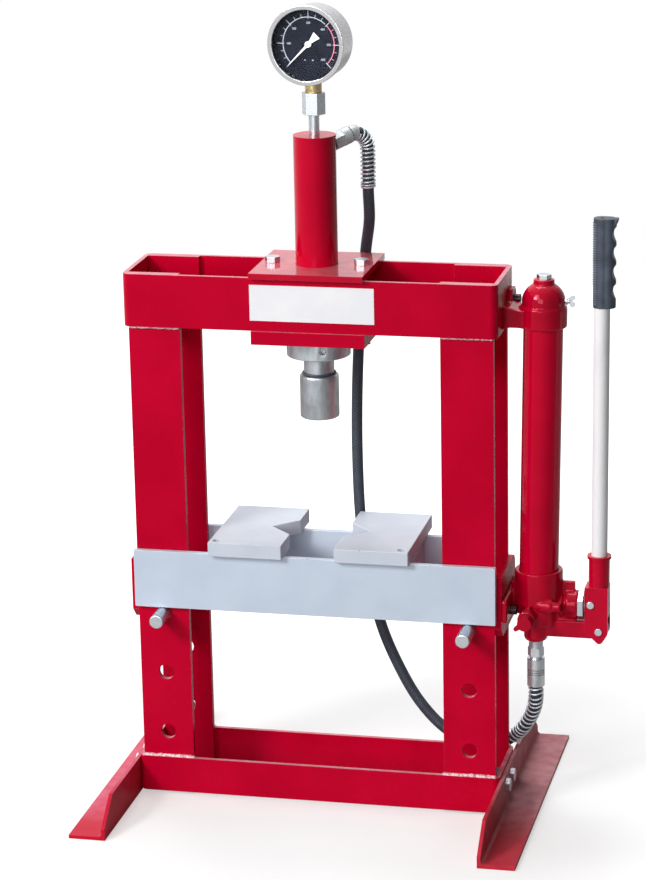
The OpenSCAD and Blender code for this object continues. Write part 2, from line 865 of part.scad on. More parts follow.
// Turning nut with a collar under the pump's port
module hose_nut() {
  rim_h = 9.5;
  nut_h = 12;
  rim_z = hose_nut_h - rim_h;
  color(zinc) at_ram() translate(hose_end + [0, 0, ferrule_l]) {
    cylinder(d = 16, h = rim_z);
    translate([0, 0, rim_z - nut_h]) hex(19, nut_h);
    translate([0, 0, rim_z]) cylinder(d = 19, h = rim_h);
    cylinder(d = port_bore, h = hose_nut_h + 12);
  }
}

// ---- Pump -----------------------------------------------------------------------------------

// Rounded flange against the tie plate, with a short neck to the body
module pump_flange() {
  x = flange_x - pump_x;
  low = -13.6;
  high = 18.4;
  neck = [-x - flange_t - 10, 28, 44];
  along_x(x, flange_t) polygon(rounded(
    [[-bar_face, low], [bar_face, low], [bar_face, high], [-bar_face, high]],
    [4, 4, 4, 4]
  ));
  translate([x + flange_t - over, -neck.y / 2, -13]) cube(neck);
}

// Arm that carries the lever's pivot, thickened by a web under the plunger's boss
module pump_arm() {
  pivot = [pivot_x - pump_x, pivot_z - bore_z];
  boss = 12;
  along_y(-(fork_in - 0.5), 2 * fork_in - 1) {
    translate([0, pivot.y - boss]) square([pivot.x, boss + 11]);
    translate(pivot) circle(boss);
  }
  along_y(-7, 14) translate([0, pivot.y]) square([gland_x - pump_x - 3, -pivot.y]);
}

// Boss that the plunger works in, with a raised ring and a thick end for the gland
module plunger_boss() {
  end = gland_x - pump_x;
  cyl_x(0, end, plunger_d + 10);
  cyl_x(end - 24, 4, plunger_d + 16);
  cyl_x(end - 16, 16, plunger_d + 20);
  translate([end - 28, 0, 0]) along_y(-4, 8) polygon([[0, 0], [23, 0], [23, 32], [8, 32]]);
}

// Closed boss of the overload valve, beside the plunger's boss
module overload_boss() {
  translate([2, -25, 4]) rotate(-6) {
    cyl_x(0, 32, 13);
    cyl_x(0, 20, 17);
  }
}

module pump_casting() {
  color(enamel) at_pump() difference() {
    union() {
      translate([0, 0, collar_z - bore_z]) cylinder(d = collar_d, h = collar_h);
      translate([0, 0, -28]) cylinder(d = collar_d - 14, h = collar_h);
      translate([port_x - pump_x, 0, port_face - bore_z]) round_boss(port_boss_d, port_boss_h, 7);
      overload_boss();
      translate([valve_x - pump_x, 0, valve_z - bore_z])
        cyl_y(valve_face, -valve_face, 24);
      pump_flange();
      pump_arm();
      plunger_boss();
    }
    translate([0, 0, res_z - bore_z]) rotate([0, res_lean, 0])
      cylinder(d = res_d + 2 * seat, h = collar_h);
    cyl_x(plunger_x - pump_x - 2, gland_x - plunger_x + 4, plunger_d + 2 * run);
    translate([pivot_x - pump_x, 0, pivot_z - bore_z])
      cyl_y(-fork_in, 2 * fork_in, fork_pin_d + 2 * run);
    translate([port_x - pump_x, 0, port_face - bore_z - over])
      cylinder(d = port_bore + 2 * seat, h = 13 + over);
    translate([valve_x - pump_x, 0, valve_z - bore_z])
      cyl_y(valve_face - over, 24 + over, valve_d + 2 * run);
    for (side = [-1, 1])
      translate([0, side * pump_screw_y, pump_screw_z - bore_z])
        cyl_x(flange_x - pump_x - over, flange_t + 2 * over, screw_d + 2 * seat);
  }
}

// Three equal socket screws: two through the pump's flange, one through the cap's
module pump_screws() {
  color(zinc) at_ram() {
    for (side = [-1, 1])
      translate([flange_x + flange_t, side * pump_screw_y, pump_screw_z]) rotate([0, 90, 0])
        socket_screw(screw_d, flange_t + tie_t + 1);
    translate([frame_w / 2 + flange_t, cap_screw_at.x, cap_screw_at.y]) rotate([0, 90, 0])
      socket_screw(screw_d, flange_t + band_t);
  }
}

// The reservoir's own axis, upwards from its seat in the pump's collar
module at_reservoir() {
  at_ram() translate([pump_x, 0, res_z]) rotate([0, res_lean, 0]) children();
}

module reservoir_tube() {
  color(enamel) at_reservoir() difference() {
    cylinder(d = res_d, h = res_l);
    translate([0, 0, -over]) cylinder(d = res_d - 2 * res_wall, h = res_l + 2 * over);
  }
}

plug_d = 12;
vent_d = 6;
dome_r = cap_r - 5;
dome_in = 2.5;
dome_z = 33;
cap_neck = 63;
plug_l = 12;
vent_rise = dome_z + 2;

// Outer profile of the cap: skirt, shoulder, dome and neck
module cap_profile() {
  square([cap_r, cap_skirt - 3]);
  square([cap_r - 3, cap_skirt]);
  translate([cap_r - 3, cap_skirt - 3]) circle(3);
  square([dome_in + dome_r, dome_z]);
  intersection() {
    translate([dome_in, dome_z]) circle(dome_r);
    square([cap_r, dome_z + dome_r]);
  }
  square([13.7, cap_neck]);
}

// Arm and flange that hold the cap against the head band's end
module cap_arm() {
  x = frame_w / 2 - pump_x;
  low = 24;
  high = 28;
  front = -22;
  back = 48;
  along_y(front, 2 * -front) polygon(rounded(
    [[x, -2], [x, high], [x + 8, high], [x + 20, low], [-12, low], [-12, 0], [x + 18, 1], [x + 8, 1]],
    [0, 0, 3, 0, 0, 0, 6, 6]
  ));
  along_x(x, flange_t) polygon(rounded(
    [[front, 0], [back, 0], [back, 36], [back - 8, 43], [20, 43], [8, high], [front, high]],
    [0, 0, 4, 4, 4, 4, 0]
  ));
}

module reservoir_cap() {
  color(enamel) difference() {
    union() {
      at_reservoir() translate([0, 0, cap_from]) rotate_extrude() cap_profile();
      at_ram() translate([pump_x, 0, cap_z]) cap_arm();
    }
    at_reservoir() translate([0, 0, cap_from]) {
      translate([0, 0, -4]) cylinder(d = res_d + 2 * seat, h = cap_grip + 4);
      cylinder(d = res_d - 2 * res_wall, h = cap_skirt + 6);
      translate([0, 0, cap_neck - plug_l - 2]) cylinder(d = plug_d + 2 * seat, h = plug_l + 2 + over);
      translate([0, 0, vent_rise]) cyl_x(dome_r - 4, 20, vent_d + 2 * seat);
    }
    at_ram() translate([0, cap_screw_at.x, cap_screw_at.y])
      cyl_x(frame_w / 2 - over, flange_t + 2 * over, screw_d + 2 * seat);
  }
}

module fill_plug() {
  color(zinc) at_reservoir() translate([0, 0, cap_from + cap_neck])
    hex_bolt(plug_d, 17, 6, plug_l);
}

// Bleed screw with two small wings
module vent_screw() {
  x = dome_in + dome_r;
  wing = [5, 4];
  color(zinc) at_reservoir() translate([0, 0, cap_from + vent_rise]) {
    cyl_x(x - 3, 9, vent_d);
    cyl_x(x + 1, 2, 10);
    along_y(-1.25, 2.5) for (side = [-1, 1]) {
      translate([x + 4, side * 2 - wing.y / 2]) square(wing);
      translate([x + 9, side * 4.5]) circle(3.5);
    }
  }
}

module gland_nut() {
  color(zinc) at_ram() translate([gland_x, 0, bore_z]) rotate([0, 90, 0]) difference() {
    hex(plunger_d * 2, gland_t);
    translate([0, 0, -over]) cylinder(d = plunger_d + 2 * run, h = gland_t + 2 * over);
  }
}

eye_slack = 0.5;
// How far the lever's link pin drops below its place at rest, and rises above it
link_drop = 3.4;
link_lift = 1.5;

// Plunger with a slotted eye: the slot takes up the rise and fall of the link pin
module plunger() {
  eye_l = gland_x + gland_t + 0.6;
  slot_w = fork_pin_d + 2 * eye_slack;
  low = link_z - link_drop - fork_pin_d / 2 - eye_slack;
  high = link_z + link_lift + fork_pin_d / 2 + eye_slack;
  wall = 4;
  color(steel) at_ram() difference() {
    union() {
      translate([0, 0, bore_z]) cyl_x(plunger_x, eye_l + 2 - plunger_x, plunger_d);
      along_y(-fork_in + 1.5, 2 * fork_in - 3)
        translate([eye_l, low - wall]) square([link_x + slot_w / 2 + wall - eye_l, high - low + 2 * wall]);
    }
    along_y(-fork_in, 2 * fork_in)
      translate([link_x - slot_w / 2, low]) square([slot_w, high - low]);
  }
}

// Release valve: a screw with a round knob and one small wing
module release_valve() {
  knob_d = 19;
  color(enamel) at_ram() translate([valve_x, 0, valve_z]) {
    cyl_y(valve_face - 4, 22, valve_d);
    cyl_y(valve_face - 16, 12.5, knob_d);
    along_y(valve_face - 13, 6) rotate(215)
      polygon(rounded([[0, -4.5], [17, -2.5], [17, 2.5], [0, 4.5]], [0, 2, 2, 0]));
  }
}

// ---- Lever ------------------------------------------------------------------------------------

// Fork and sleeve, welded together: two cheeks, a back web, a top plate and the sleeve
module lever_socket() {
  left = fork_left - pivot_x;
  right = fork_right - pivot_x;
  top = fork_top - pivot_z;
  w = fork_right - fork_left;
  cheek = rounded(
    [[left, top], [left, 0], [2, -20], [right, -4], [right, top]],
    [0, 8, 5, 6, 0]
  );
  color(enamel) at_ram() difference() {
    union() {
      for (y = [-fork_out, fork_in])
        translate([pivot_x, 0, pivot_z]) along_y(y, cheek_t) polygon(cheek);
      translate([fork_right - cheek_t, -fork_in - over, pivot_z + 19])
        cube([cheek_t, 2 * fork_in + 2 * over, top - 19]);
      translate([fork_left, -fork_out, fork_top - cheek_t]) cube([w, 2 * fork_out, cheek_t]);
      translate([lever_x, 0, fork_top]) rotate([0, lever_lean, 0]) {
        translate([0, 0, -over]) cylinder(d = sleeve_d, h = sleeve_h + over);
        translate([0, 0, sleeve_h - 4]) cylinder(d = sleeve_d + 4, h = 4);
      }
    }
    translate([lever_x, 0, fork_top]) rotate([0, lever_lean, 0])
      cylinder(d = lever_d + 2 * seat, h = sleeve_h + over);
    for (at = [[pivot_x, pivot_z], [link_x, link_z]])
      translate([at.x, 0, at.y]) cyl_y(-fork_out - over, 2 * fork_out + 2 * over, fork_pin_d + 2 * run);
  }
}

// The lever tube's own axis, upwards from the fork
module at_lever() {
  at_ram() translate([lever_x, 0, fork_top]) rotate([0, lever_lean, 0]) children();
}

module lever_tube() {
  wall = 2.5;
  color("white") at_lever() translate([0, 0, seat]) difference() {
    cylinder(d = lever_d, h = lever_l);
    translate([0, 0, -over]) cylinder(d = lever_d - 2 * wall, h = lever_l + 2 * over);
  }
}

// Closed rubber grip, thicker towards the fingers, with grooves for them and a horn on top
module lever_grip() {
  back_r = lever_d / 2 + 1.2;
  front_r = 11;
  front_x = 7;
  pitch = 25;
  first_groove = 22;
  groove_r = 13;
  groove_depth = 4.5;
  reach = front_x + front_r;
  horn = [3, 15];
  color(black) at_lever() translate([0, 0, grip_from]) difference() {
    union() {
      linear_extrude(grip_l) {
        circle(back_r);
        translate([0, -front_r]) square([front_x, 2 * front_r]);
        translate([front_x, 0]) circle(front_r);
      }
      translate([0, 0, grip_l]) along_y(-7, 14) polygon([
        [0, 0], [grip_reach, 0], [grip_reach, -horn.x], [reach - 3, -horn.y], [0, -horn.y]
      ]);
    }
    for (i = [0:3])
      translate([reach + groove_r - groove_depth, 0, first_groove + i * pitch])
        cyl_y(-20, 40, 2 * groove_r);
    translate([0, 0, -over])
      cylinder(d = lever_d + 2 * seat, h = lever_l - grip_from + over + 2 * seat);
    cylinder(d = 5, h = grip_l + over);
  }
}

module fork_pins() {
  l = 2 * fork_out + 5;
  color(zinc) at_ram() for (at = [[pivot_x, pivot_z], [link_x, link_z]])
    translate([at.x, 0, at.y]) cyl_y(-l / 2, l, fork_pin_d);
}

// ---- Bed ----------------------------------------------------------------------------------------

module rail(y, l) {
  color(bed_grey) at_ram() translate([-l / 2, y, rail_z]) cube([l, rail_t, rail_h]);
}

module front_rail() { rail(-rail_y - rail_t, front_rail_l); }

// A little shorter than the front rail
module back_rail() { rail(rail_y, back_rail_l); }

// Two flat bars that hold the rails apart, under the arbor plates
module bed_spacers() {
  color(bed_grey) at_ram() for (side = [-1, 1])
    translate([side * spacer_x - rail_t / 2, -rail_y, rail_z + (rail_h - spacer_h) / 2])
      cube([rail_t, 2 * rail_y, spacer_h]);
}

// Loose plate with a square V notch in its right-hand edge and one corner hole
module arbor_blank() {
  inset = [10, 12];
  difference() {
    linear_extrude(arbor_t) difference() {
      translate([0, -arbor_l / 2]) square([arbor_w, arbor_l]);
      polygon([
        [arbor_w - notch_w / 2, 0],
        [arbor_w + over, notch_w / 2 + over],
        [arbor_w + over, -notch_w / 2 - over]
      ]);
    }
    translate([inset.x, inset.y - arbor_l / 2, -over])
      cylinder(d = arbor_hole_d, h = arbor_t + 2 * over);
  }
}

module left_arbor_plate() {
  color(bed_grey) at_ram() translate([arbor_left, arbor_y, rail_top]) arbor_blank();
}

module right_arbor_plate() {
  color(bed_grey) at_ram() translate([arbor_right + arbor_w, arbor_y, rail_top])
    mirror([1, 0, 0]) arbor_blank();
}

module bed_pin(side, front) {
  chamfer = 1;
  r = pin_d / 2;
  color(zinc) at_ram() translate([side * bar_x, front, bed_pin_z]) rotate([-90, 0, 0])
    rotate_extrude() polygon([
      [0, 0], [r - chamfer, 0], [r, chamfer],
      [r, pin_l - chamfer], [r - chamfer, pin_l], [0, pin_l]
    ]);
}

module left_bed_pin() { bed_pin(-1, -98); }

module right_bed_pin() { bed_pin(1, -105); }

head_band();
base_band();
bar(-1, -1);  // left_front_bar
bar(-1, 1);  // left_back_bar
bar(1, -1);  // right_front_bar
bar(1, 1);  // right_back_bar
left_tie_plate();
right_tie_plate();
foot(-1);  // left_foot
foot(1);  // right_foot
foot_bolts();
foot_nuts();
top_plate();
lower_plate();
clamp_bolts();
clamp_nuts();
label_plate();
cylinder_tube();
rod_guide();
ring_nut();
piston();
ram_rod();
ram_head();
head_ring();
return_spring();
gauge_pipe();
gauge_nut();
gauge_stem();
gauge_case();
gauge_bezel();
gauge_dial();
gauge_lens();
gauge_needle();
port_adapter();
hose_elbow();
upper_guard();
hose();
lower_guard();
hose_ferrule();
hose_nut();
pump_casting();
pump_screws();
reservoir_tube();
reservoir_cap();
fill_plug();
vent_screw();
gland_nut();
plunger();
release_valve();
lever_socket();
lever_tube();
lever_grip();
fork_pins();
front_rail();
back_rail();
bed_spacers();
left_arbor_plate();
right_arbor_plate();
left_bed_pin();
right_bed_pin();
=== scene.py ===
import bmesh
import bpy
import json
import math
from mathutils import Matrix, Vector

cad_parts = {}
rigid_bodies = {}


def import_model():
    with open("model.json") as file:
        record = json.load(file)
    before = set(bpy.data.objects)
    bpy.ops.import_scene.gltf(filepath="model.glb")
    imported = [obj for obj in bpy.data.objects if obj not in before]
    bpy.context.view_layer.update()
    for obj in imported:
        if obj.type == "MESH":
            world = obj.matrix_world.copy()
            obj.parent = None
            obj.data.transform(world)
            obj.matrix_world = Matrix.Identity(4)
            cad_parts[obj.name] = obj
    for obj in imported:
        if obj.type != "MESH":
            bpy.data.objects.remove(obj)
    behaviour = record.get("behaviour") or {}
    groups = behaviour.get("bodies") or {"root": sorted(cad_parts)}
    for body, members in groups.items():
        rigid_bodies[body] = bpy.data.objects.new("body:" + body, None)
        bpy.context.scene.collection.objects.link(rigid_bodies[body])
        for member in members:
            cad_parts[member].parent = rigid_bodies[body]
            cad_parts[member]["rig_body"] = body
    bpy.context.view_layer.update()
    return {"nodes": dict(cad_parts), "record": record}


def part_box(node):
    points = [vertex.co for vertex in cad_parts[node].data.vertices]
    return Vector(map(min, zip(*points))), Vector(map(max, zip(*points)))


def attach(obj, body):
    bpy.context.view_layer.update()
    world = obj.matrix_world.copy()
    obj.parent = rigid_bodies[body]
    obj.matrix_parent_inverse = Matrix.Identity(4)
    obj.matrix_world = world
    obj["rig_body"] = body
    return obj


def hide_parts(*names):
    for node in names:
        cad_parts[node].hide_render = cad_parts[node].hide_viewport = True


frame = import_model()
nodes = frame["nodes"]
slots = {part["node"]: part["material_slot"] for part in frame["record"]["subparts"]}
scene = bpy.context.scene
mm = 0.001


# Small helpers


def toLinear(hexColour):
    parts = [int(hexColour[i:i + 2], 16) / 255 for i in (1, 3, 5)]
    return [c / 12.92 if c <= 0.04045 else ((c + 0.055) / 1.055) ** 2.4 for c in parts] + [1.0]


def addNode(tree, kind, inputs=None, stops=None, **settings):
    # a node with its settings, its inputs as values or links, and a ramp's stops as colours or levels
    node = tree.nodes.new(kind)
    for name, value in settings.items():
        setattr(node, name, value)
    for key, value in (inputs or {}).items():
        if isinstance(value, bpy.types.NodeSocket):
            tree.links.new(value, node.inputs[key])
        else:
            node.inputs[key].default_value = value
    if stops:
        for element, (position, shade) in zip(node.color_ramp.elements, stops):
            element.position = position
            element.color = toLinear(shade) if isinstance(shade, str) else (shade, shade, shade, 1)
    return node


def asObject(name, mesh):
    thing = bpy.data.objects.new(name, mesh)
    scene.collection.objects.link(thing)
    return thing


def applied(thing):
    # the evaluated shape as a plain mesh, with nothing live left on it
    bpy.context.view_layer.update()
    seen = thing.evaluated_get(bpy.context.evaluated_depsgraph_get())
    mesh = bpy.data.meshes.new_from_object(seen)
    name = thing.name
    bpy.data.objects.remove(thing)
    mesh.name = name
    return asObject(name, mesh)


def camelName(node):
    first, *rest = node.split("_")
    return first + "".join(word.capitalize() for word in rest)


def finishPiece(piece, body, slot, *replaced):
    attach(piece, body)
    if replaced:
        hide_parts(*replaced)
    return piece


# Camera: a long lens, from the front right and a little above the head band
camera = {
    "place": (0.87065, -3.9338, 1.6670),
    "turn": 13.11,
    "down": 16.15,
    "roll": -1.171,
    "lens": 175.7,
    "sensor": 36,
    "farthest": 50,
}


def makeCamera():
    turn, down, roll = (math.radians(camera[key]) for key in ("turn", "down", "roll"))
    look = Vector((-math.sin(turn) * math.cos(down), math.cos(turn) * math.cos(down), -math.sin(down)))
    side = look.cross(Vector((0, 0, 1))).normalized()
    top = side.cross(look)
    right = side * math.cos(roll) + top * math.sin(roll)
    up = top * math.cos(roll) - side * math.sin(roll)
    data = bpy.data.cameras.new("camera")
    data.sensor_fit = "HORIZONTAL"
    data.sensor_width = camera["sensor"]
    data.lens = camera["lens"]
    data.clip_end = camera["farthest"]
    eye = asObject("camera", data)
    eye.matrix_world = Matrix.Translation(camera["place"]) @ Matrix((right, up, -look)).transposed().to_4x4()
    scene.camera = eye


makeCamera()
print("camera ready")


# Oil hose: the route's points are millimetres from the ram's axis, and the same as in the construction
hose = {
    "ramX": -48.7433 * mm,
    "route": [
        (58, 58, 883), (58, 58, 854), (58, 58, 824), (57, 66, 785), (48, 84, 742),
        (39, 96, 680), (32, 103, 610), (28, 104, 530), (27, 104, 450), (30, 103, 360),
        (40, 101, 280), (57.5, 99, 207), (81.5, 97, 149), (111, 94, 99), (147, 91, 62),
        (188, 87, 43), (228, 80, 49), (256, 68, 73), (273, 46, 101), (284, 22, 127),
        (289, 6, 148), (290, 0, 168),
    ],
    "diameter": 15 * mm,
    "steps": 12,
    "sides": 28,
}


def smoothRoute(points, steps):
    ends = [2 * points[0] - points[1]] + points + [2 * points[-1] - points[-2]]
    path = []
    for i in range(1, len(ends) - 2):
        a, b, c, d = ends[i - 1:i + 3]
        for k in range(steps):
            t = k / steps
            path.append((2 * b + (c - a) * t + (2 * a - 5 * b + 4 * c - d) * t ** 2
                         + (3 * b - a - 3 * c + d) * t ** 3) / 2)
    return path + [points[-1]]


def tubeAlong(name, path, radius, sides):
    # a round tube, with its own UV: once round is 1, and its length is in the same scale
    form = bmesh.new()
    around = form.loops.layers.uv.new("along")
    rings, run = [], [0.0]
    for i, point in enumerate(path):
        direction = (path[min(i + 1, len(path) - 1)] - path[max(i - 1, 0)]).normalized()
        side = direction.cross(Vector((0, 1, 0))).normalized()
        other = side.cross(direction)
        turns = [2 * math.pi * k / sides for k in range(sides)]
        rings.append([form.verts.new(point + radius * (math.cos(t) * side + math.sin(t) * other)) for t in turns])
        if i:
            run.append(run[-1] + (point - path[i - 1]).length)
    for i in range(len(rings) - 1):
        for k in range(sides):
            after = (k + 1) % sides
            face = form.faces.new((rings[i][k], rings[i][after], rings[i + 1][after], rings[i + 1][k]))
            face.smooth = True
            for loop, (u, v) in zip(face.loops, ((k, i), (k + 1, i), (k + 1, i + 1), (k, i + 1))):
                loop[around].uv = (u / sides, run[v] / (2 * math.pi * radius))
    form.faces.new(rings[0])
    form.faces.new(rings[-1])
    bmesh.ops.recalc_face_normals(form, faces=form.faces)
    mesh = bpy.data.meshes.new(name)
    form.to_mesh(mesh)
    form.free()
    return asObject(name, mesh)


hosePoints = [Vector((hose["ramX"] + x * mm, y * mm, z * mm)) for x, y, z in hose["route"]]
hosePath = smoothRoute(hosePoints, hose["steps"])
hoseLength = sum((b - a).length for a, b in zip(hosePath, hosePath[1:]))
elbow = {"bend": 22 * mm, "tilt": 17.0, "lead": 0.54 * mm, "sleeve": 26.0, "steps": 16}  # the bent fitting above it
bendOut = Vector((hosePath[0].x - hose["ramX"], hosePath[0].y, 0)).normalized()
bendCentre = hosePath[0] - elbow["bend"] * bendOut
hosePiece = tubeAlong("oilHose", hosePath, hose["diameter"] / 2, hose["sides"])
finishPiece(hosePiece, "press", "hose_rubber", "hose")
print("hose laid,", round(hoseLength, 3), "m")


# Materials. A pattern's size is in millimetres, and a ramp has two stops, each a position and a colour or level


def newMaterial(name):
    material = bpy.data.materials.new(name)
    material.use_nodes = True
    tree = material.node_tree
    return material, tree, tree.nodes["Principled BSDF"], addNode(tree, "ShaderNodeTexCoord").outputs["Object"]


def setShader(shader, **values):
    # a value is the same all over, or is the output of a node that varies it
    for key, value in values.items():
        socket = shader.inputs[key.replace("_", " ")]
        if isinstance(value, bpy.types.NodeSocket):
            shader.id_data.links.new(value, socket)
        else:
            socket.default_value = value


def clouded(tree, place, size, detail, *ramps):
    # one cloudy pattern, shaded in as many ways as there are ramps
    cloud = addNode(tree, "ShaderNodeTexNoise", {"Vector": place, "Scale": 1 / (size * mm), "Detail": detail})
    return [addNode(tree, "ShaderNodeValToRGB", {"Fac": cloud.outputs["Fac"]}, stops=stops).outputs["Color"]
            for stops in ramps]


def relief(tree, shader, place, size, detail, depth):
    # low bumps of this size and depth all over
    cloud = addNode(tree, "ShaderNodeTexNoise", {"Vector": place, "Scale": 1 / (size * mm), "Detail": detail})
    bump = addNode(tree, "ShaderNodeBump", {"Height": cloud.outputs["Fac"], "Distance": depth * mm})
    setShader(shader, Normal=bump.outputs[0])


# Stoving enamel on steel: deep red under a wet-looking skin. Slow clouds where the film is thicker,
# a faint orange peel, and a pale pink painted reflection of the backdrop, in patches, on what faces up
# the dust colour here is the pale pink of the painted reflection on what faces up
enamel = {"deep": "#bd0028", "full": "#ca022e", "dust": "#e2a6b2", "glint": (1.0, 0.3, 0.38, 1.0),
          "cloud": 90.0, "speck": 16.0, "smear": 30.0, "peel": 3.0, "sand": 1.6}


def stovedEnamel(name, deep=enamel["deep"], full=enamel["full"], dust=0.75, peel=0.05, grain=0.0,
                 gloss=(0.22, 0.34), ior=1.27):
    material, tree, shader, place = newMaterial(name)
    film, = clouded(tree, place, enamel["cloud"], 4, ((0.35, deep), (0.65, full)))
    speck, = clouded(tree, place, enamel["speck"], 6, ((0.3, 0.6), (0.65, 1.0)))
    rough, = clouded(tree, place, enamel["smear"], 5, ((0.3, gloss[0]), (0.75, gloss[1])))
    # painted reflection: what faces up is mixed towards pale pink in patches, as if it mirrored the pale backdrop;
    # dust sets how much
    facing = addNode(tree, "ShaderNodeNewGeometry").outputs["Normal"]
    up = addNode(tree, "ShaderNodeSeparateXYZ", {0: facing}).outputs["Z"]
    reflectionFacingUp = addNode(tree, "ShaderNodeValToRGB", {"Fac": up}, stops=((0.6, 0.0), (1.0, 1.0))).outputs["Color"]
    patchyReflection = addNode(tree, "ShaderNodeMath", {0: reflectionFacingUp, 1: speck}, operation="MULTIPLY").outputs[0]
    paintedReflection = addNode(tree, "ShaderNodeMath", {0: patchyReflection, 1: dust}, operation="MULTIPLY").outputs[0]
    colour = addNode(tree, "ShaderNodeMix", {"Factor": paintedReflection, "A": film, "B": toLinear(enamel["dust"])},
                     data_type="RGBA").outputs["Result"]
    height = addNode(tree, "ShaderNodeTexNoise", {"Vector": place, "Scale": 1 / (enamel["peel"] * mm),
                                                  "Detail": 1}).outputs["Fac"]
    if grain:
        sand = addNode(tree, "ShaderNodeTexNoise", {"Vector": place, "Scale": 1 / (enamel["sand"] * mm),
                                                    "Detail": 3}).outputs["Fac"]
        sand = addNode(tree, "ShaderNodeMath", {0: sand, 1: grain}, operation="MULTIPLY").outputs[0]
        height = addNode(tree, "ShaderNodeMath", {0: height, 1: sand}, operation="ADD").outputs[0]
    skin = addNode(tree, "ShaderNodeBump", {"Height": height, "Distance": peel * mm}).outputs[0]
    setShader(shader, Base_Color=colour, Roughness=rough, Normal=skin, IOR=ior, Specular_Tint=enamel["glint"])
    return material


# The same enamel where it thins over an edge, painted paler along the edge as a painted highlight where it catches
# the light
def paleEdgeHighlightEnamel():
    material, tree, shader, place = newMaterial("enamelOverEdgePaintedHighlight")
    colour, = clouded(tree, place, 9, 4, ((0.35, "#b20f30"), (0.7, "#c63f5a")))
    rough, = clouded(tree, place, 4, 2, ((0.3, 0.3), (0.7, 0.42)))
    setShader(shader, Base_Color=colour, Roughness=rough, IOR=1.35)
    return material


# Enamel of the feet: a pale dusty tone over it, partly shop dust and partly a painted reflection of the backdrop,
# thicker towards the back than at the front end and on top than on what stands upright
dustAndSheen = {"deep": "#c00c2a", "full": "#cc1433", "film": 40.0, "soil": 18.0, "least": 0.1, "gloss": 0.28, "matt": 0.7}


def dustAndSheenEnamel(name, dull, pale, cover, clean, upright):
    material, tree, shader, place = newMaterial(name)
    film, = clouded(tree, place, dustAndSheen["film"], 5, ((0.35, dustAndSheen["deep"]), (0.65, dustAndSheen["full"])))
    soil, = clouded(tree, place, dustAndSheen["soil"], 6, ((0.3, dull), (0.7, pale)))
    along = addNode(tree, "ShaderNodeSeparateXYZ", {0: place}).outputs["Y"]
    back = addNode(tree, "ShaderNodeMapRange", {"Value": along, "From Min": clean[0], "From Max": clean[1],
                                                "To Min": cover * dustAndSheen["least"], "To Max": cover}).outputs[0]
    facing = addNode(tree, "ShaderNodeNewGeometry").outputs["Normal"]
    up = addNode(tree, "ShaderNodeSeparateXYZ", {0: facing}).outputs["Z"]
    lying = addNode(tree, "ShaderNodeMapRange", {"Value": up, "From Min": 0.5, "From Max": 0.9,
                                                 "To Min": upright, "To Max": 1.0}).outputs[0]
    # dust here weighs the pale tone: shop dust, and on what faces up a painted reflection of the backdrop
    dust = addNode(tree, "ShaderNodeMath", {0: back, 1: lying}, operation="MULTIPLY").outputs[0]
    colour = addNode(tree, "ShaderNodeMix", {"Factor": dust, "A": film, "B": soil},
                     data_type="RGBA").outputs["Result"]
    rough = addNode(tree, "ShaderNodeMapRange", {"Value": dust, "To Min": dustAndSheen["gloss"],
                                                 "To Max": dustAndSheen["matt"]}).outputs[0]
    relief(tree, shader, place, 3, 3, 0.06)
    setShader(shader, Base_Color=colour, Roughness=rough, IOR=1.18, Specular_Tint=enamel["glint"])
    return material


# Weld bead under enamel: the paint is thin on it, and its ripples are painted pale pink to nearly white as a painted
# highlight of their glints
def weldPaintedGlint():
    material, tree, shader, place = newMaterial("enamelOnWeldPaintedGlint")
    colour, rough = clouded(tree, place, 5, 4, ((0.35, "#d8788a"), (0.6, "#f6e4e6")), ((0.3, 0.2), (0.7, 0.4)))
    relief(tree, shader, place, 1.5, 3, 0.3)
    setShader(shader, Base_Color=colour, Roughness=rough)
    return material


# Satin enamel of the bed: an even pale blue-grey, with small dark chips where work has knocked its edges
def bedEnamel(name, pale="#ccd8e8", worn="#c5d2e2", chips=0.0, bare="#4a5361"):
    material, tree, shader, place = newMaterial(name)
    film, rough = clouded(tree, place, 60, 5, ((0.35, worn), (0.6, pale)), ((0.3, 0.46), (0.7, 0.38)))
    chip, = clouded(tree, place, 6, 3, ((0.66, 0.0), (0.7, chips)))
    colour = addNode(tree, "ShaderNodeMix", {"Factor": chip, "A": film, "B": toLinear(bare)},
                     data_type="RGBA").outputs["Result"]
    relief(tree, shader, place, 2.2, 2, 0.04)
    setShader(shader, Base_Color=colour, Roughness=rough, IOR=1.48)
    return material


# Bright zinc plate: cold silver with a faintly mottled, slightly blurred shine
def zincPlate(name="brightZinc", pale="#d2d6db", dull="#bcc1c8", matt=0.42, bright=0.26):
    material, tree, shader, place = newMaterial(name)
    colour, rough = clouded(tree, place, 3.5, 4, ((0.35, dull), (0.65, pale)), ((0.3, matt), (0.7, bright)))
    relief(tree, shader, place, 1.2, 2, 0.02)
    setShader(shader, Base_Color=colour, Roughness=rough, Metallic=1.0)
    return material


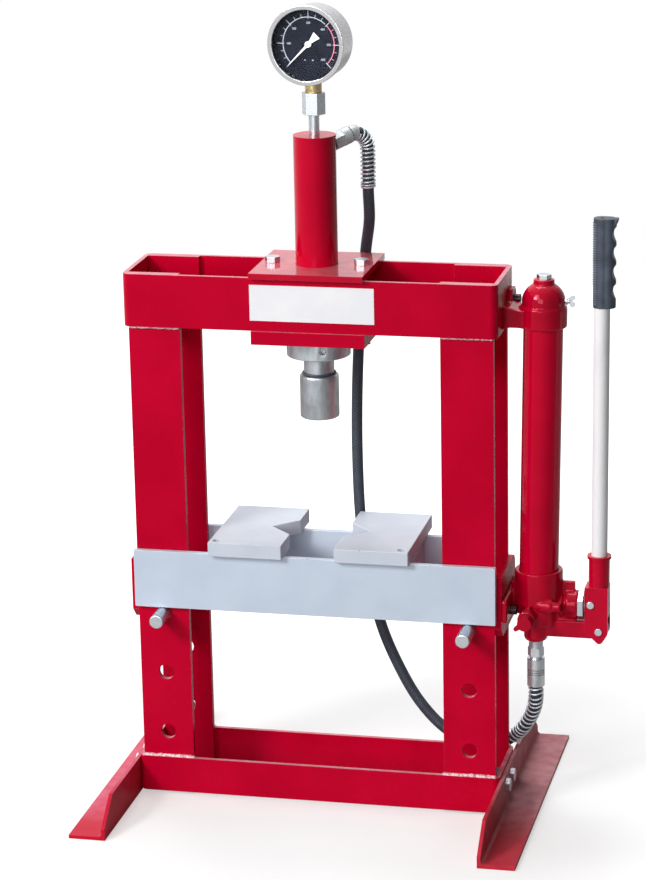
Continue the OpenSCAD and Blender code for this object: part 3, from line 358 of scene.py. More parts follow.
# The hose's metal end: dull cast zinc, and past its sleeve the dark tube that shows between the guard's turns
def zincHoseEnd(pale="#c7cccd", dull="#b3b8b9", tube="#3d424a", shine=0.4, glint=(0.4, 0.41, 0.43, 1.0)):
    material, tree, shader, place = newMaterial("castZinc")
    turn = math.radians(90 + elbow["tilt"] - elbow["sleeve"])
    ahead = math.sin(turn) * bendOut - math.cos(turn) * Vector((0, 0, 1))
    run = addNode(tree, "ShaderNodeVectorMath", {0: place, 1: ahead}, operation="DOT_PRODUCT").outputs["Value"]
    past = addNode(tree, "ShaderNodeMath", {0: run, 1: ahead.dot(bendCentre)}, operation="GREATER_THAN").outputs[0]
    metal, = clouded(tree, place, 3.5, 4, ((0.35, dull), (0.65, pale)))
    colour = addNode(tree, "ShaderNodeMix", {"Factor": past, "A": metal, "B": toLinear(tube)},
                     data_type="RGBA").outputs["Result"]
    before = addNode(tree, "ShaderNodeMath", {0: 1.0, 1: past}, operation="SUBTRACT").outputs[0]
    metallic = addNode(tree, "ShaderNodeMath", {0: before, 1: shine}, operation="MULTIPLY").outputs[0]
    relief(tree, shader, place, 1.2, 2, 0.04)
    setShader(shader, Base_Color=colour, Metallic=metallic, Roughness=0.5, Specular_Tint=glint)
    return material


# Turned steel: fine rings round the axis, drawn at 0.9 mm because the real feed marks are too fine to show,
# with darker handling stains
def turnedSteel(name, pale="#c2c7cc", stain="#8e9398", rings=0.5, feed=0.9):
    material, tree, shader, place = newMaterial(name)
    ring = addNode(tree, "ShaderNodeTexWave", {"Vector": place, "Scale": 0.35 / (feed * mm), "Distortion": 1.2,
                                               "Detail": 2, "Detail Scale": 0.4}, bands_direction="Z")
    tall = addNode(tree, "ShaderNodeMapping", {"Vector": place, "Scale": (1, 1, 0.5)}).outputs[0]
    colour, rough = clouded(tree, tall, 16, 5, ((0.32, stain), (0.6, pale)), ((0.3, 0.5), (0.7, 0.3)))
    grooves = addNode(tree, "ShaderNodeBump", {"Height": ring.outputs["Fac"], "Strength": rings,
                                               "Distance": 0.03 * mm}).outputs[0]
    setShader(shader, Base_Color=colour, Roughness=rough, Normal=grooves, Metallic=1.0)
    return material


# Stainless steel, spun and polished: nearly a mirror, with a soft brushed drag round it
def polishedStainless(drag=1.5):
    material, tree, shader, place = newMaterial("polishedStainless")
    drawn = addNode(tree, "ShaderNodeMapping", {"Vector": place, "Scale": (1, 0.15, 1)}).outputs[0]
    colour, rough = clouded(tree, drawn, drag, 3, ((0.3, "#c2c2c5"), (0.7, "#dcdcde")), ((0.3, 0.3), (0.7, 0.16)))
    relief(tree, shader, drawn, drag, 3, 0.01)
    setShader(shader, Base_Color=colour, Roughness=rough, Metallic=1.0)
    return material


# Machined brass, slightly tarnished: warm yellow going brown in patches
def machinedBrass():
    material, tree, shader, place = newMaterial("machinedBrass")
    colour, rough = clouded(tree, place, 6, 5, ((0.35, "#a88b5c"), (0.65, "#dccb9c")), ((0.3, 0.42), (0.7, 0.25)))
    setShader(shader, Base_Color=colour, Roughness=rough, Metallic=1.0)
    return material


# Rubber cover cured in a wrap of tape: matt slate, with the slanting print of the wrap left in it.
# The wrap follows the hose's own UV, so its scale is in turns of tape for each round of the hose
wrapping = {"turns": 4.4, "slant": 0.5, "dark": "#222932", "pale": "#414b59", "print": 0.45, "dust": 14.0,
            "grain": 0.8, "depth": 0.25}


def wrappedRubber():
    material, tree, shader, place = newMaterial("wrappedRubber")
    along = addNode(tree, "ShaderNodeUVMap", uv_map="along").outputs["UV"]
    slant = addNode(tree, "ShaderNodeMapping", {"Vector": along, "Rotation": (0, 0, wrapping["slant"])}).outputs[0]
    wrap = addNode(tree, "ShaderNodeTexWave", {"Vector": slant, "Scale": wrapping["turns"], "Distortion": 0.4,
                                               "Detail": 2}, bands_direction="Y").outputs["Fac"]
    dust, grain = (addNode(tree, "ShaderNodeTexNoise", {"Vector": place, "Scale": 1 / (wrapping[key] * mm),
                                                        "Detail": detail}).outputs["Fac"]
                   for key, detail in (("dust", 4), ("grain", 2)))
    shares = [addNode(tree, "ShaderNodeMath", {0: pattern, 1: share}, operation="MULTIPLY").outputs[0]
              for pattern, share in ((wrap, wrapping["print"]), (dust, 1 - wrapping["print"]), (grain, 0.4))]
    both = addNode(tree, "ShaderNodeMath", {0: shares[0], 1: shares[1]}, operation="ADD").outputs[0]
    colour = addNode(tree, "ShaderNodeValToRGB", {"Fac": both},
                     stops=((0.25, wrapping["dark"]), (0.8, wrapping["pale"]))).outputs["Color"]
    height = addNode(tree, "ShaderNodeMath", {0: wrap, 1: shares[2]}, operation="ADD").outputs[0]
    ridges = addNode(tree, "ShaderNodeBump", {"Height": height, "Strength": 0.6,
                                              "Distance": wrapping["depth"] * mm}).outputs[0]
    setShader(shader, Base_Color=colour, Normal=ridges, Roughness=0.6, IOR=1.52)
    return material


# Moulded rubber: slate black with a soft sheen and a fine mould grain, rubbed paler by hands
def mouldedRubber(name="mouldedRubber", dark="#2a313d", pale="#454e5e"):
    material, tree, shader, place = newMaterial(name)
    colour, rough = clouded(tree, place, 18, 4, ((0.3, dark), (0.7, pale)), ((0.3, 0.6), (0.7, 0.45)))
    relief(tree, shader, place, 0.9, 2, 0.05)
    setShader(shader, Base_Color=colour, Roughness=rough, IOR=1.52)
    return material


# White enamel of the lever: clean and glossy, with faint grey handling marks drawn out along it
def whiteEnamel():
    material, tree, shader, place = newMaterial("whiteEnamel")
    drawn = addNode(tree, "ShaderNodeMapping", {"Vector": place, "Scale": (1, 1, 0.25)}).outputs[0]
    colour, = clouded(tree, drawn, 22, 5, ((0.28, "#f0f0f4"), (0.5, "#fcfcfe")))
    relief(tree, shader, place, 2.5, 1, 0.03)
    setShader(shader, Base_Color=colour, Roughness=0.28, IOR=1.5, Coat_Weight=0.3, Coat_Roughness=0.06)
    return material


# Screen-printed inks and flat lacquer inside the gauge: dead flat, with the slightest tone in them
def flatInk(name, dark, pale, size=4.0, roughness=0.55, ior=1.5):
    material, tree, shader, place = newMaterial(name)
    colour, = clouded(tree, place, size, 3, ((0.3, dark), (0.7, pale)))
    setShader(shader, Base_Color=colour, Roughness=roughness, IOR=ior)
    return material


# Bare plate film on the head band: satin white, a touch warmer where it has yellowed
def plainFilm():
    material, tree, shader, place = newMaterial("plainFilm")
    colour, = clouded(tree, place, 40, 4, ((0.3, "#f2f3f8"), (0.7, "#fafafd")))
    relief(tree, shader, place, 12, 2, 0.03)
    setShader(shader, Base_Color=colour, Roughness=0.33, IOR=1.46, Coat_Weight=0.2, Coat_Roughness=0.1)
    return material


# Clear coated glass with little glare, that lets the lamps through to the dial
def clearGlass():
    material, tree, shader, place = newMaterial("clearGlass")
    rough, = clouded(tree, place, 25, 2, ((0.3, 0.0), (0.9, 0.02)))
    setShader(shader, Base_Color=(1, 1, 1, 1), Roughness=rough, IOR=1.16, Transmission_Weight=1.0)
    shadow = addNode(tree, "ShaderNodeLightPath").outputs["Is Shadow Ray"]
    clear = addNode(tree, "ShaderNodeBsdfTransparent").outputs[0]
    mixed = addNode(tree, "ShaderNodeMixShader", {0: shadow, 1: shader.outputs[0], 2: clear}).outputs[0]
    tree.links.new(mixed, tree.nodes["Material Output"].inputs["Surface"])
    return material


# the dust weight in these calls sets how much painted reflection lies on what faces up
plateEnamel = stovedEnamel("stovedEnamel")
tubeEnamel = stovedEnamel("stovedEnamelOnTube", dust=0.0, peel=0.03, gloss=(0.08, 0.16), ior=1.35)
topEnamel = stovedEnamel("glossyTopEnamelPaintedSheen", dust=0.4, peel=0.03, gloss=(0.06, 0.14), ior=1.5)
sideEnamel = stovedEnamel("stovedEnamelOnSide", dust=0.0, peel=0.03, ior=1.16)
castEnamel = stovedEnamel("enamelOnSandCasting", deep="#a30020", full="#c6022c", dust=0.05, peel=0.06, grain=0.25,
                          gloss=(0.03, 0.09), ior=1.42)
forkEnamel = stovedEnamel("enamelOnForging", dust=0.05, peel=0.05, gloss=(0.05, 0.12), ior=1.4)
# left foot: its pale pink on what faces up is a painted reflection; right foot: a brown-pink tone of shop dust and
# painted sheen
footEnamel = dustAndSheenEnamel("footEnamelPaintedReflection", dull="#d4627a", pale="#dd8092", cover=0.85, clean=(-0.2, -0.13),
                         upright=0.15)
dullFootEnamel = dustAndSheenEnamel("dustAndSheenEnamel", dull="#bd7f86", pale="#d3a0a5", cover=0.95, clean=(-0.15, -0.02),
                             upright=0.85)
edgeEnamelPaintedHighlight = paleEdgeHighlightEnamel()
beadEnamelPaintedGlint = weldPaintedGlint()
bedPaint = bedEnamel("bedEnamel")
platePaint = bedEnamel("arborPlateEnamel", pale="#d3dae6", worn="#cad3e0")
# the bed's corners: real dark chips, and a slightly paler tone that is a painted highlight along the edges
bedEdgeChipsAndHighlight = bedEnamel("bedEnamelEdge", pale="#d8dfe9", worn="#c9d2df", chips=0.6)
zinc = zincPlate()
blackOxide = zincPlate("blackOxide", pale="#4a3a40", dull="#2c2227")
springWire = zincPlate("springWire", pale="#d4d9de", dull="#bfc4ca", matt=0.62, bright=0.5)
castZinc = zincHoseEnd()
# zinc painted dark as painted shade: the foot nuts sit in shade inside the base band, and the ferrule's groove
# corners stand for the shade in its grooves
zincPaintedShade = zincPlate("zincPaintedShade", pale="#7d7a7a", dull="#5f5c5c", matt=0.6, bright=0.5)
turnedZinc = turnedSteel("turnedZinc", pale="#d8dbdf", stain="#aab0b6", rings=0.9)
steel = turnedSteel("turnedSteel")
stainless = polishedStainless()
brass = machinedBrass()
hoseRubber = wrappedRubber()
gripRubber = mouldedRubber()
rubbedRubber = mouldedRubber("rubbedRubber", dark="#6b7584", pale="#9aa4b2")
leverWhite = whiteEnamel()
dialBlack = flatInk("dialLacquer", dark="#10131c", pale="#181c27", size=20.0, roughness=0.5, ior=1.12)
paleInk = flatInk("paleInk", dark="#9aa4ae", pale="#b6bfc8")
redInk = flatInk("redInk", dark="#c9677a", pale="#dd8392")
needleWhite = flatInk("needleLacquer", dark="#cfd2da", pale="#e2e4ea", size=3.0, roughness=0.4)
labelFilm = plainFilm()
lensGlass = clearGlass()

hosePiece.data.materials.append(hoseRubber)
print("materials mixed")


# Plate, bar and turned work: a copy of each solid with its corners broken as a file or a lathe leaves them.
# Each has its corners' width in millimetres, then the finish of its faces and of its corners
edges = {
    "head_band": (1.2, plateEnamel, edgeEnamelPaintedHighlight), "base_band": (1.2, plateEnamel, edgeEnamelPaintedHighlight),
    "left_front_bar": (0.9, plateEnamel, edgeEnamelPaintedHighlight), "left_back_bar": (0.9, plateEnamel, edgeEnamelPaintedHighlight),
    "right_front_bar": (0.9, plateEnamel, edgeEnamelPaintedHighlight), "right_back_bar": (0.9, plateEnamel, edgeEnamelPaintedHighlight),
    "left_tie_plate": (0.8, sideEnamel, edgeEnamelPaintedHighlight), "right_tie_plate": (0.8, sideEnamel, edgeEnamelPaintedHighlight),
    "left_foot": (0.9, footEnamel, edgeEnamelPaintedHighlight), "right_foot": (0.9, dullFootEnamel, edgeEnamelPaintedHighlight),
    "top_plate": (0.9, topEnamel, edgeEnamelPaintedHighlight), "lower_plate": (1.0, plateEnamel, edgeEnamelPaintedHighlight),
    "cylinder_tube": (1.0, tubeEnamel, edgeEnamelPaintedHighlight), "reservoir_tube": (0.6, tubeEnamel, tubeEnamel),
    "lever_socket": (0.8, forkEnamel, edgeEnamelPaintedHighlight), "release_valve": (0.8, castEnamel, castEnamel),
    "front_rail": (0.9, bedPaint, bedEdgeChipsAndHighlight), "back_rail": (0.9, bedPaint, bedEdgeChipsAndHighlight),
    "bed_spacers": (0.6, bedPaint, bedEdgeChipsAndHighlight), "left_arbor_plate": (1.2, platePaint, bedEdgeChipsAndHighlight),
    "right_arbor_plate": (1.2, platePaint, bedEdgeChipsAndHighlight), "left_bed_pin": (1.0, zinc, zinc),
    # the foot nuts take zinc painted dark: painted shade
    "right_bed_pin": (1.0, zinc, zinc), "foot_bolts": (0.4, zinc, zinc), "foot_nuts": (0.4, zincPaintedShade, zincPaintedShade),
    "clamp_bolts": (0.4, zinc, zinc), "clamp_nuts": (0.4, zinc, zinc), "pump_screws": (0.4, blackOxide, blackOxide),
    "gland_nut": (0.5, zinc, zinc), "fill_plug": (0.4, zinc, zinc), "vent_screw": (0.25, zinc, zinc),
    "fork_pins": (0.6, zinc, zinc), "gauge_nut": (0.5, zinc, zinc), "gauge_pipe": (0.3, zinc, zinc),
    "port_adapter": (0.4, castZinc, castZinc), "hose_nut": (0.4, turnedZinc, turnedZinc),
    # the ferrule's groove corners are darkened zinc: painted shade in the grooves
    "hose_ferrule": (0.3, turnedZinc, zincPaintedShade),
    "gauge_stem": (0.4, brass, brass), "gauge_case": (0.8, stainless, stainless),
    "gauge_bezel": (0.9, stainless, stainless), "ring_nut": (0.9, steel, steel), "ram_head": (0.6, steel, steel),
    "lever_tube": (0.4, leverWhite, leverWhite), "gauge_needle": (0.15, needleWhite, needleWhite),
    "label_plate": (0.15, labelFilm, labelFilm), "rod_guide": (0.4, steel, steel),
}
# How near two points merge, and the angles below which faces are one and above which an edge is a corner
solid = {"merge": 0.002 * mm, "flat": math.radians(0.3), "corner": math.radians(32), "rounding": 2}


def weldedMesh(node):
    # a copy of a solid's loose triangles, merged, with its flat faces made whole
    form = bmesh.new()
    form.from_mesh(nodes[node].data)
    bmesh.ops.remove_doubles(form, verts=form.verts, dist=solid["merge"])
    bmesh.ops.dissolve_limit(form, angle_limit=solid["flat"], verts=form.verts, edges=form.edges)
    mesh = bpy.data.meshes.new(camelName(node))
    form.to_mesh(mesh)
    form.free()
    return mesh


def brokenEdges(node, width, face, edge):
    mesh = weldedMesh(node)
    mesh.materials.append(face)
    mesh.materials.append(edge)
    mesh.shade_smooth()
    mesh.set_sharp_from_angle(angle=solid["corner"])
    piece = asObject(camelName(node), mesh)
    bevel = piece.modifiers.new("edge", "BEVEL")
    bevel.width = width * mm
    bevel.segments = solid["rounding"]
    bevel.limit_method = "ANGLE"
    bevel.angle_limit = solid["corner"]
    bevel.harden_normals = True
    # the corners' second finish is the paler enamel of a painted highlight
    bevel.material = 1  # the corners take the second finish
    bevel.use_clamp_overlap = True
    return finishPiece(applied(piece), nodes[node]["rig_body"], slots[node], node)


for node, (width, face, edge) in edges.items():
    brokenEdges(node, width, face, edge)
print("edges broken on", len(edges), "pieces")


# Sand castings and mouldings: their corners run together in fillets, so the copy is rounded all over.
# Each has the size of its faces in millimetres, how many times they are smoothed by half, and its finish
castings = {
    "pump_casting": (1.3, 5, castEnamel),
    "reservoir_cap": (1.1, 4, castEnamel),
    "lever_grip": (0.8, 5, gripRubber),
}


def roundedCasting(node, voxel, rounds, material):
    mesh = weldedMesh(node)
    piece = asObject(camelName(node), mesh)
    remesh = piece.modifiers.new("cast", "REMESH")
    remesh.mode = "VOXEL"
    remesh.voxel_size = voxel * mm
    remesh.use_smooth_shade = True
    smooth = piece.modifiers.new("fillet", "SMOOTH")
    smooth.factor = 0.5
    smooth.iterations = rounds
    piece = applied(piece)
    piece.data.materials.append(material)
    piece.data.shade_smooth()
    return finishPiece(piece, nodes[node]["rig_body"], slots[node], node)


for node, (voxel, rounds, material) in castings.items():
    roundedCasting(node, voxel, rounds, material)
print("castings rounded")


# What keeps its own solid takes its finish in its slots
# the head ring is dark rubber in the head's mouth, and it stands for the shadow gap where the rod meets the head:
# painted shade
plain = {
    "gauge_dial": dialBlack, "gauge_lens": lensGlass, "hose_elbow": castZinc, "head_ring": gripRubber,
    "ram_rod": steel, "piston": steel, "return_spring": springWire, "plunger": steel,
}
for node, material in plain.items():
    nodes[node].data.materials.clear()
    nodes[node].data.materials.append(material)


# Geometry Nodes: how a tree starts and ends, and how a plain mesh is grown along a line with one


def growTree(name, **kinds):
    tree = bpy.data.node_groups.new(name, "GeometryNodeTree")
    tree.interface.new_socket("Geometry", in_out="OUTPUT", socket_type="NodeSocketGeometry")
    tree.interface.new_socket("Geometry", in_out="INPUT", socket_type="NodeSocketGeometry")
    for label, kind in kinds.items():
        tree.interface.new_socket(label, in_out="INPUT", socket_type="NodeSocket" + kind)
    return tree, addNode(tree, "NodeGroupInput").outputs, addNode(tree, "NodeGroupOutput").inputs["Geometry"]


def endTree(tree, geometry, material, end):
    real = addNode(tree, "GeometryNodeRealizeInstances", {0: geometry}).outputs[0]
    smooth = addNode(tree, "GeometryNodeSetShadeSmooth", {0: real}).outputs[0]
    coated = addNode(tree, "GeometryNodeSetMaterial", {"Geometry": smooth, "Material": material}).outputs[0]
    tree.links.new(coated, end)


def grown(name, base, tree, **values):
    thing = asObject(name, base)
    modifier = thing.modifiers.new("grow", "NODES")
    modifier.node_group = tree
    for socket in tree.interface.items_tree:
        if socket.in_out == "INPUT" and socket.name in values:
            modifier[socket.identifier] = values[socket.name]
    return applied(thing)


def lineMesh(name, *lines):
    # each line is a list of points, joined in order
    mesh = bpy.data.meshes.new(name)
    points, joints = [], []
    for line in lines:
        joints += [(len(points) + i, len(points) + i + 1) for i in range(len(line) - 1)]
        points += [tuple(point) for point in line]
    mesh.from_pydata(points, joints, [])
    return mesh


# Wound wire guards over the hose's two ends, as helices that follow its line, with extra turns drawn
# together over a stretch at an end. Millimetres along the line; a place below 0 is from its far end
guards = {
    "upper_guard": {"start": 13.02, "end": 94.5, "pitch": 5.6, "extra": (0.0, 1.0), "stretch": 6.0},
    "lower_guard": {"start": -140.0, "end": -1.5, "pitch": 12.5, "extra": (1.6, 1.6), "stretch": 30.0},
}
guardWire = {"coil": 9.1 * mm, "wire": 1.3 * mm, "step": 0.25 * mm, "sides": 8}


def bendLine():
    # from the elbow's collar, up the tilted port, round the bend and down the hose
    tilt = math.radians(elbow["tilt"])
    turns = [(math.pi / 2 + tilt) * (1 - i / elbow["steps"]) for i in range(elbow["steps"])]
    arc = [bendCentre + elbow["bend"] * (math.cos(t) * bendOut + Vector((0, 0, math.sin(t)))) for t in turns]
    port = bendOut * math.cos(tilt) + Vector((0, 0, math.sin(tilt)))
    return [arc[0] - elbow["lead"] * port] + arc + hosePath


def guardTree():
    tree, given, end = growTree("woundGuard", Start="Float", End="Float", Pitch="Float", First="Float", Last="Float",
                                Stretch="Float", Coil="Float", Wire="Float", Material="Material")
    curve = addNode(tree, "GeometryNodeMeshToCurve", {0: given["Geometry"]}).outputs[0]
    cut = addNode(tree, "GeometryNodeTrimCurve", {0: curve, 4: given["Start"], 5: given["End"]}, mode="LENGTH")
    fine = addNode(tree, "GeometryNodeResampleCurve", {0: cut.outputs[0], "Length": guardWire["step"]},
                   mode="LENGTH").outputs[0]
    run = addNode(tree, "GeometryNodeSplineParameter").outputs["Length"]
    whole = addNode(tree, "ShaderNodeMath", {0: given["End"], 1: given["Start"]}, operation="SUBTRACT").outputs[0]
    lastFrom = addNode(tree, "ShaderNodeMath", {0: whole, 1: given["Stretch"]}, operation="SUBTRACT").outputs[0]
    first = addNode(tree, "ShaderNodeMapRange", {"Value": run, "From Max": given["Stretch"],
                                                 "To Max": given["First"]}).outputs[0]
    last = addNode(tree, "ShaderNodeMapRange", {"Value": run, "From Min": lastFrom, "From Max": whole,
                                                "To Max": given["Last"]}).outputs[0]
    extra = addNode(tree, "ShaderNodeMath", {0: first, 1: last}, operation="ADD").outputs[0]
    even = addNode(tree, "ShaderNodeMath", {0: run, 1: given["Pitch"]}, operation="DIVIDE").outputs[0]
    turns = addNode(tree, "ShaderNodeMath", {0: even, 1: extra}, operation="ADD").outputs[0]
    turn = addNode(tree, "ShaderNodeMath", {0: turns, 1: 2 * math.pi}, operation="MULTIPLY").outputs[0]
    normal = addNode(tree, "GeometryNodeInputNormal").outputs[0]
    tangent = addNode(tree, "GeometryNodeInputTangent").outputs[0]
    out = addNode(tree, "ShaderNodeVectorRotate", {"Vector": normal, "Axis": tangent, "Angle": turn}).outputs[0]
    offset = addNode(tree, "ShaderNodeVectorMath", {0: out, "Scale": given["Coil"]}, operation="SCALE").outputs[0]
    wound = addNode(tree, "GeometryNodeSetPosition", {"Geometry": fine, "Offset": offset}).outputs[0]
    ring = addNode(tree, "GeometryNodeCurvePrimitiveCircle", {"Resolution": guardWire["sides"],
                                                              "Radius": given["Wire"]}).outputs[0]
    wire = addNode(tree, "GeometryNodeCurveToMesh", {"Curve": wound, "Profile Curve": ring,
                                                     "Fill Caps": True}).outputs[0]
    endTree(tree, wire, given["Material"], end)
    return tree


windGuard = guardTree()
guardLines = {"upper_guard": bendLine(), "lower_guard": hosePath}
for node, guard in guards.items():
    start, end = ((place * mm) % hoseLength for place in (guard["start"], guard["end"]))
    piece = grown(camelName(node), lineMesh("guardLine", guardLines[node]), windGuard, Start=start, End=end,
                  Pitch=guard["pitch"] * mm, First=guard["extra"][0], Last=guard["extra"][1],
                  Stretch=guard["stretch"] * mm, Coil=guardWire["coil"], Wire=guardWire["wire"], Material=springWire)
    finishPiece(piece, "press", slots[node], node)
print("guards wound")


# Weld beads: overlapping scales, each between the least and the most of its size along and across the seam.
# The seams at the top and low ends of a bar run this far in from its edges and out from its face, in millimetres
weld = {"pitch": 2.6 * mm, "radius": 3.4 * mm, "least": (0.75, 0.8, 0.8), "most": (1.05, 1.1, 1.1), "seed": 3,
        "sides": 10, "rings": 6, "top": {"inset": 3, "out": 1.5}, "low": {"inset": 1, "out": 2.5}}


def beadTree():
    tree, given, end = growTree("weldBead", Pitch="Float", Radius="Float", Seed="Int", Material="Material")
    curve = addNode(tree, "GeometryNodeMeshToCurve", {0: given["Geometry"]}).outputs[0]
    steps = addNode(tree, "GeometryNodeResampleCurve", {0: curve, "Length": given["Pitch"]}, mode="LENGTH").outputs[0]
    scale = addNode(tree, "GeometryNodeMeshUVSphere", {"Segments": weld["sides"], "Rings": weld["rings"],
                                                       "Radius": given["Radius"]}).outputs[0]
    tangent = addNode(tree, "GeometryNodeInputTangent").outputs[0]
    turned = addNode(tree, "FunctionNodeAlignRotationToVector", {"Vector": tangent}, axis="X").outputs[0]
    size = addNode(tree, "FunctionNodeRandomValue", {"Min": weld["least"], "Max": weld["most"],
                                                     "Seed": given["Seed"]}, data_type="FLOAT_VECTOR").outputs[0]
    laid = addNode(tree, "GeometryNodeInstanceOnPoints", {"Points": steps, "Instance": scale, "Rotation": turned,
                                                          "Scale": size}).outputs[0]
    endTree(tree, laid, given["Material"], end)
    return tree


def frameSeams():
    # across the outer face of each bar, where it meets the head band and the base band
    heights = {"top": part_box("head_band")[0].z / mm, "low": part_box("base_band")[1].z / mm}
    lines = []
    for bar in ("left_front_bar", "left_back_bar", "right_front_bar", "right_back_bar"):
        low, high = (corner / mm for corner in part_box(bar))
        side = -1 if low.y < 0 else 1
        face = low.y if side < 0 else high.y
        for end, height in heights.items():
            inset, y = weld[end]["inset"], face + side * weld[end]["out"]
            lines.append([Vector((x, y, height)) * mm for x in (low.x + inset, high.x - inset)])
    return lines


# the beads wear the pale enamel with its painted highlight
frameWelds = grown("frameWelds", lineMesh("frameSeams", *frameSeams()), beadTree(), Pitch=weld["pitch"],
                   Radius=weld["radius"], Seed=weld["seed"], Material=beadEnamelPaintedGlint)
finishPiece(frameWelds, "press", "red_enamel")
print("welds laid")


# Gauge dial: a scale printed on the dial, with a red end, plain numbers and the heads of two small screws.
# Lengths are in millimetres, and angles in degrees anticlockwise from the dial's right
gauge = {
    "dialProud": 0.12,
    "arc": 35.0,
    "band": 0.9,
    "minor": 4.5,
    "major": 8.0,
    "inward": 2.0,
    "tick": 0.6,
    "majorTick": 1.3,
    "majorEvery": 3,
    "from": 225.0,
    "sweep": 270.0,
    "redFrom": 45.0,
    "gap": 4.0,
    "steps": 18,
    "numbers": ("0", "100", "200", "300", "400", "500", "600"),
    "digit": 3.9,
    "numbersIn": 7.5,
    "screw": {"across": 5.4, "down": -20.6, "radius": 0.9, "sides": 10},
    "facet": 3.0,
    "turn": 7.0,
    "hubZ": 1030.0,
    "face": -14.0,
}


def onDial(mesh):
    # from the dial's own plane, X right and Y up, to its place behind the lens
    face = Matrix.Rotation(math.radians(90), 4, "X")
    lift = Matrix.Translation((0, (gauge["face"] - gauge["dialProud"]) * mm, 0))
    turn = Matrix.Rotation(math.radians(-gauge["turn"]), 4, "Z")
    place = Matrix.Translation((hose["ramX"], 0, gauge["hubZ"] * mm)) @ turn
    mesh.transform(place @ lift @ face)
    return mesh


def dialArc(form, first, last, inner, outer):
    count = int(abs(first - last) / gauge["facet"])
    turns = [math.radians(first + (last - first) * i / count) for i in range(count + 1)]
    rim = [[form.verts.new((r * mm * math.cos(t), r * mm * math.sin(t), 0)) for t in turns] for r in (inner, outer)]
    for i in range(count):
        form.faces.new((rim[0][i], rim[1][i], rim[1][i + 1], rim[0][i + 1]))


def dialTick(form, turn, inner, outer, width):
    t = math.radians(turn)
    along, across = Vector((math.cos(t), math.sin(t), 0)), Vector((-math.sin(t), math.cos(t), 0)) * width / 2
    corners = [along * inner - across, along * outer - across, along * outer + across, along * inner + across]
    form.faces.new([form.verts.new(corner * mm) for corner in corners])


def printMesh(name, form, material):
    # thin ink: flat faces drawn out to a little thickness
    grownFaces = bmesh.ops.extrude_face_region(form, geom=form.faces[:])
    lifted = [part for part in grownFaces["geom"] if isinstance(part, bmesh.types.BMVert)]
    bmesh.ops.translate(form, verts=lifted, vec=(0, 0, gauge["dialProud"] * mm))
    bmesh.ops.recalc_face_normals(form, faces=form.faces)
    mesh = bpy.data.meshes.new(name)
    form.to_mesh(mesh)
    form.free()
    mesh.materials.append(material)
    return finishPiece(asObject(name, onDial(mesh)), "press", "dial_black")


def makeDial():
    pale, red = bmesh.new(), bmesh.new()
    arc, half, redFrom, screw = gauge["arc"], gauge["band"] / 2, gauge["redFrom"], gauge["screw"]
    dialArc(pale, gauge["from"], redFrom + gauge["gap"], arc - half, arc + half)
    dialArc(red, redFrom, gauge["from"] - gauge["sweep"], arc - half, arc + half)
    for i in range(gauge["steps"] + 1):
        turn = gauge["from"] - gauge["sweep"] * i / gauge["steps"]
        form = red if turn <= redFrom else pale
        if i % gauge["majorEvery"]:
            dialTick(form, turn, arc, arc + gauge["minor"], gauge["tick"])
        else:
            dialTick(pale, turn, arc - gauge["inward"], arc + gauge["major"], gauge["tick"] * gauge["majorTick"])
    for side in (-1, 1):
        centre = Vector((side * screw["across"], screw["down"], 0))
        turns = [2 * math.pi * k / screw["sides"] for k in range(screw["sides"] + 1)]
        rim = [centre + screw["radius"] * Vector((math.cos(t), math.sin(t), 0)) for t in turns]
        for corners in zip([centre] * screw["sides"], rim, rim[1:]):
            pale.faces.new([pale.verts.new(corner * mm) for corner in corners])
    bmesh.ops.remove_doubles(pale, verts=pale.verts, dist=1e-6)
    printMesh("dialScale", pale, paleInk)
    printMesh("dialRedEnd", red, redInk)


def makeNumbers():
    meshes = []
    apart = gauge["sweep"] / (len(gauge["numbers"]) - 1)
    reach = (gauge["arc"] - gauge["numbersIn"]) * mm
    for i, number in enumerate(gauge["numbers"]):
        turn = math.radians(gauge["from"] - apart * i)
        text = bpy.data.curves.new("number", "FONT")
        text.body = number
        text.size = gauge["digit"] * mm
        text.align_x, text.align_y = "CENTER", "CENTER"
        text.extrude = gauge["dialProud"] * mm / 2
        holder = asObject("number", text)
        bpy.context.view_layer.update()
        mesh = bpy.data.meshes.new_from_object(holder.evaluated_get(bpy.context.evaluated_depsgraph_get()))
        bpy.data.objects.remove(holder)
        mesh.transform(Matrix.Translation((reach * math.cos(turn), reach * math.sin(turn), 0)))
        meshes.append(mesh)
    form = bmesh.new()
    for mesh in meshes:
        form.from_mesh(mesh)
    mesh = bpy.data.meshes.new("dialNumbers")
    form.to_mesh(mesh)
    form.free()
    mesh.materials.clear()
    mesh.materials.append(paleInk)
    finishPiece(asObject("dialNumbers", onDial(mesh)), "press", "dial_black")


makeDial()
makeNumbers()
print("dial printed")


# Ribs moulded across the back of the grip: each is an arc of this many degrees, sunk a little into it
ribs = {"pitch": 3.1 * mm, "count": 35, "wire": 0.6 * mm, "sides": 6, "arc": 120.0, "steps": 16, "sunk": 0.1 * mm,
        "start": 6 * mm}


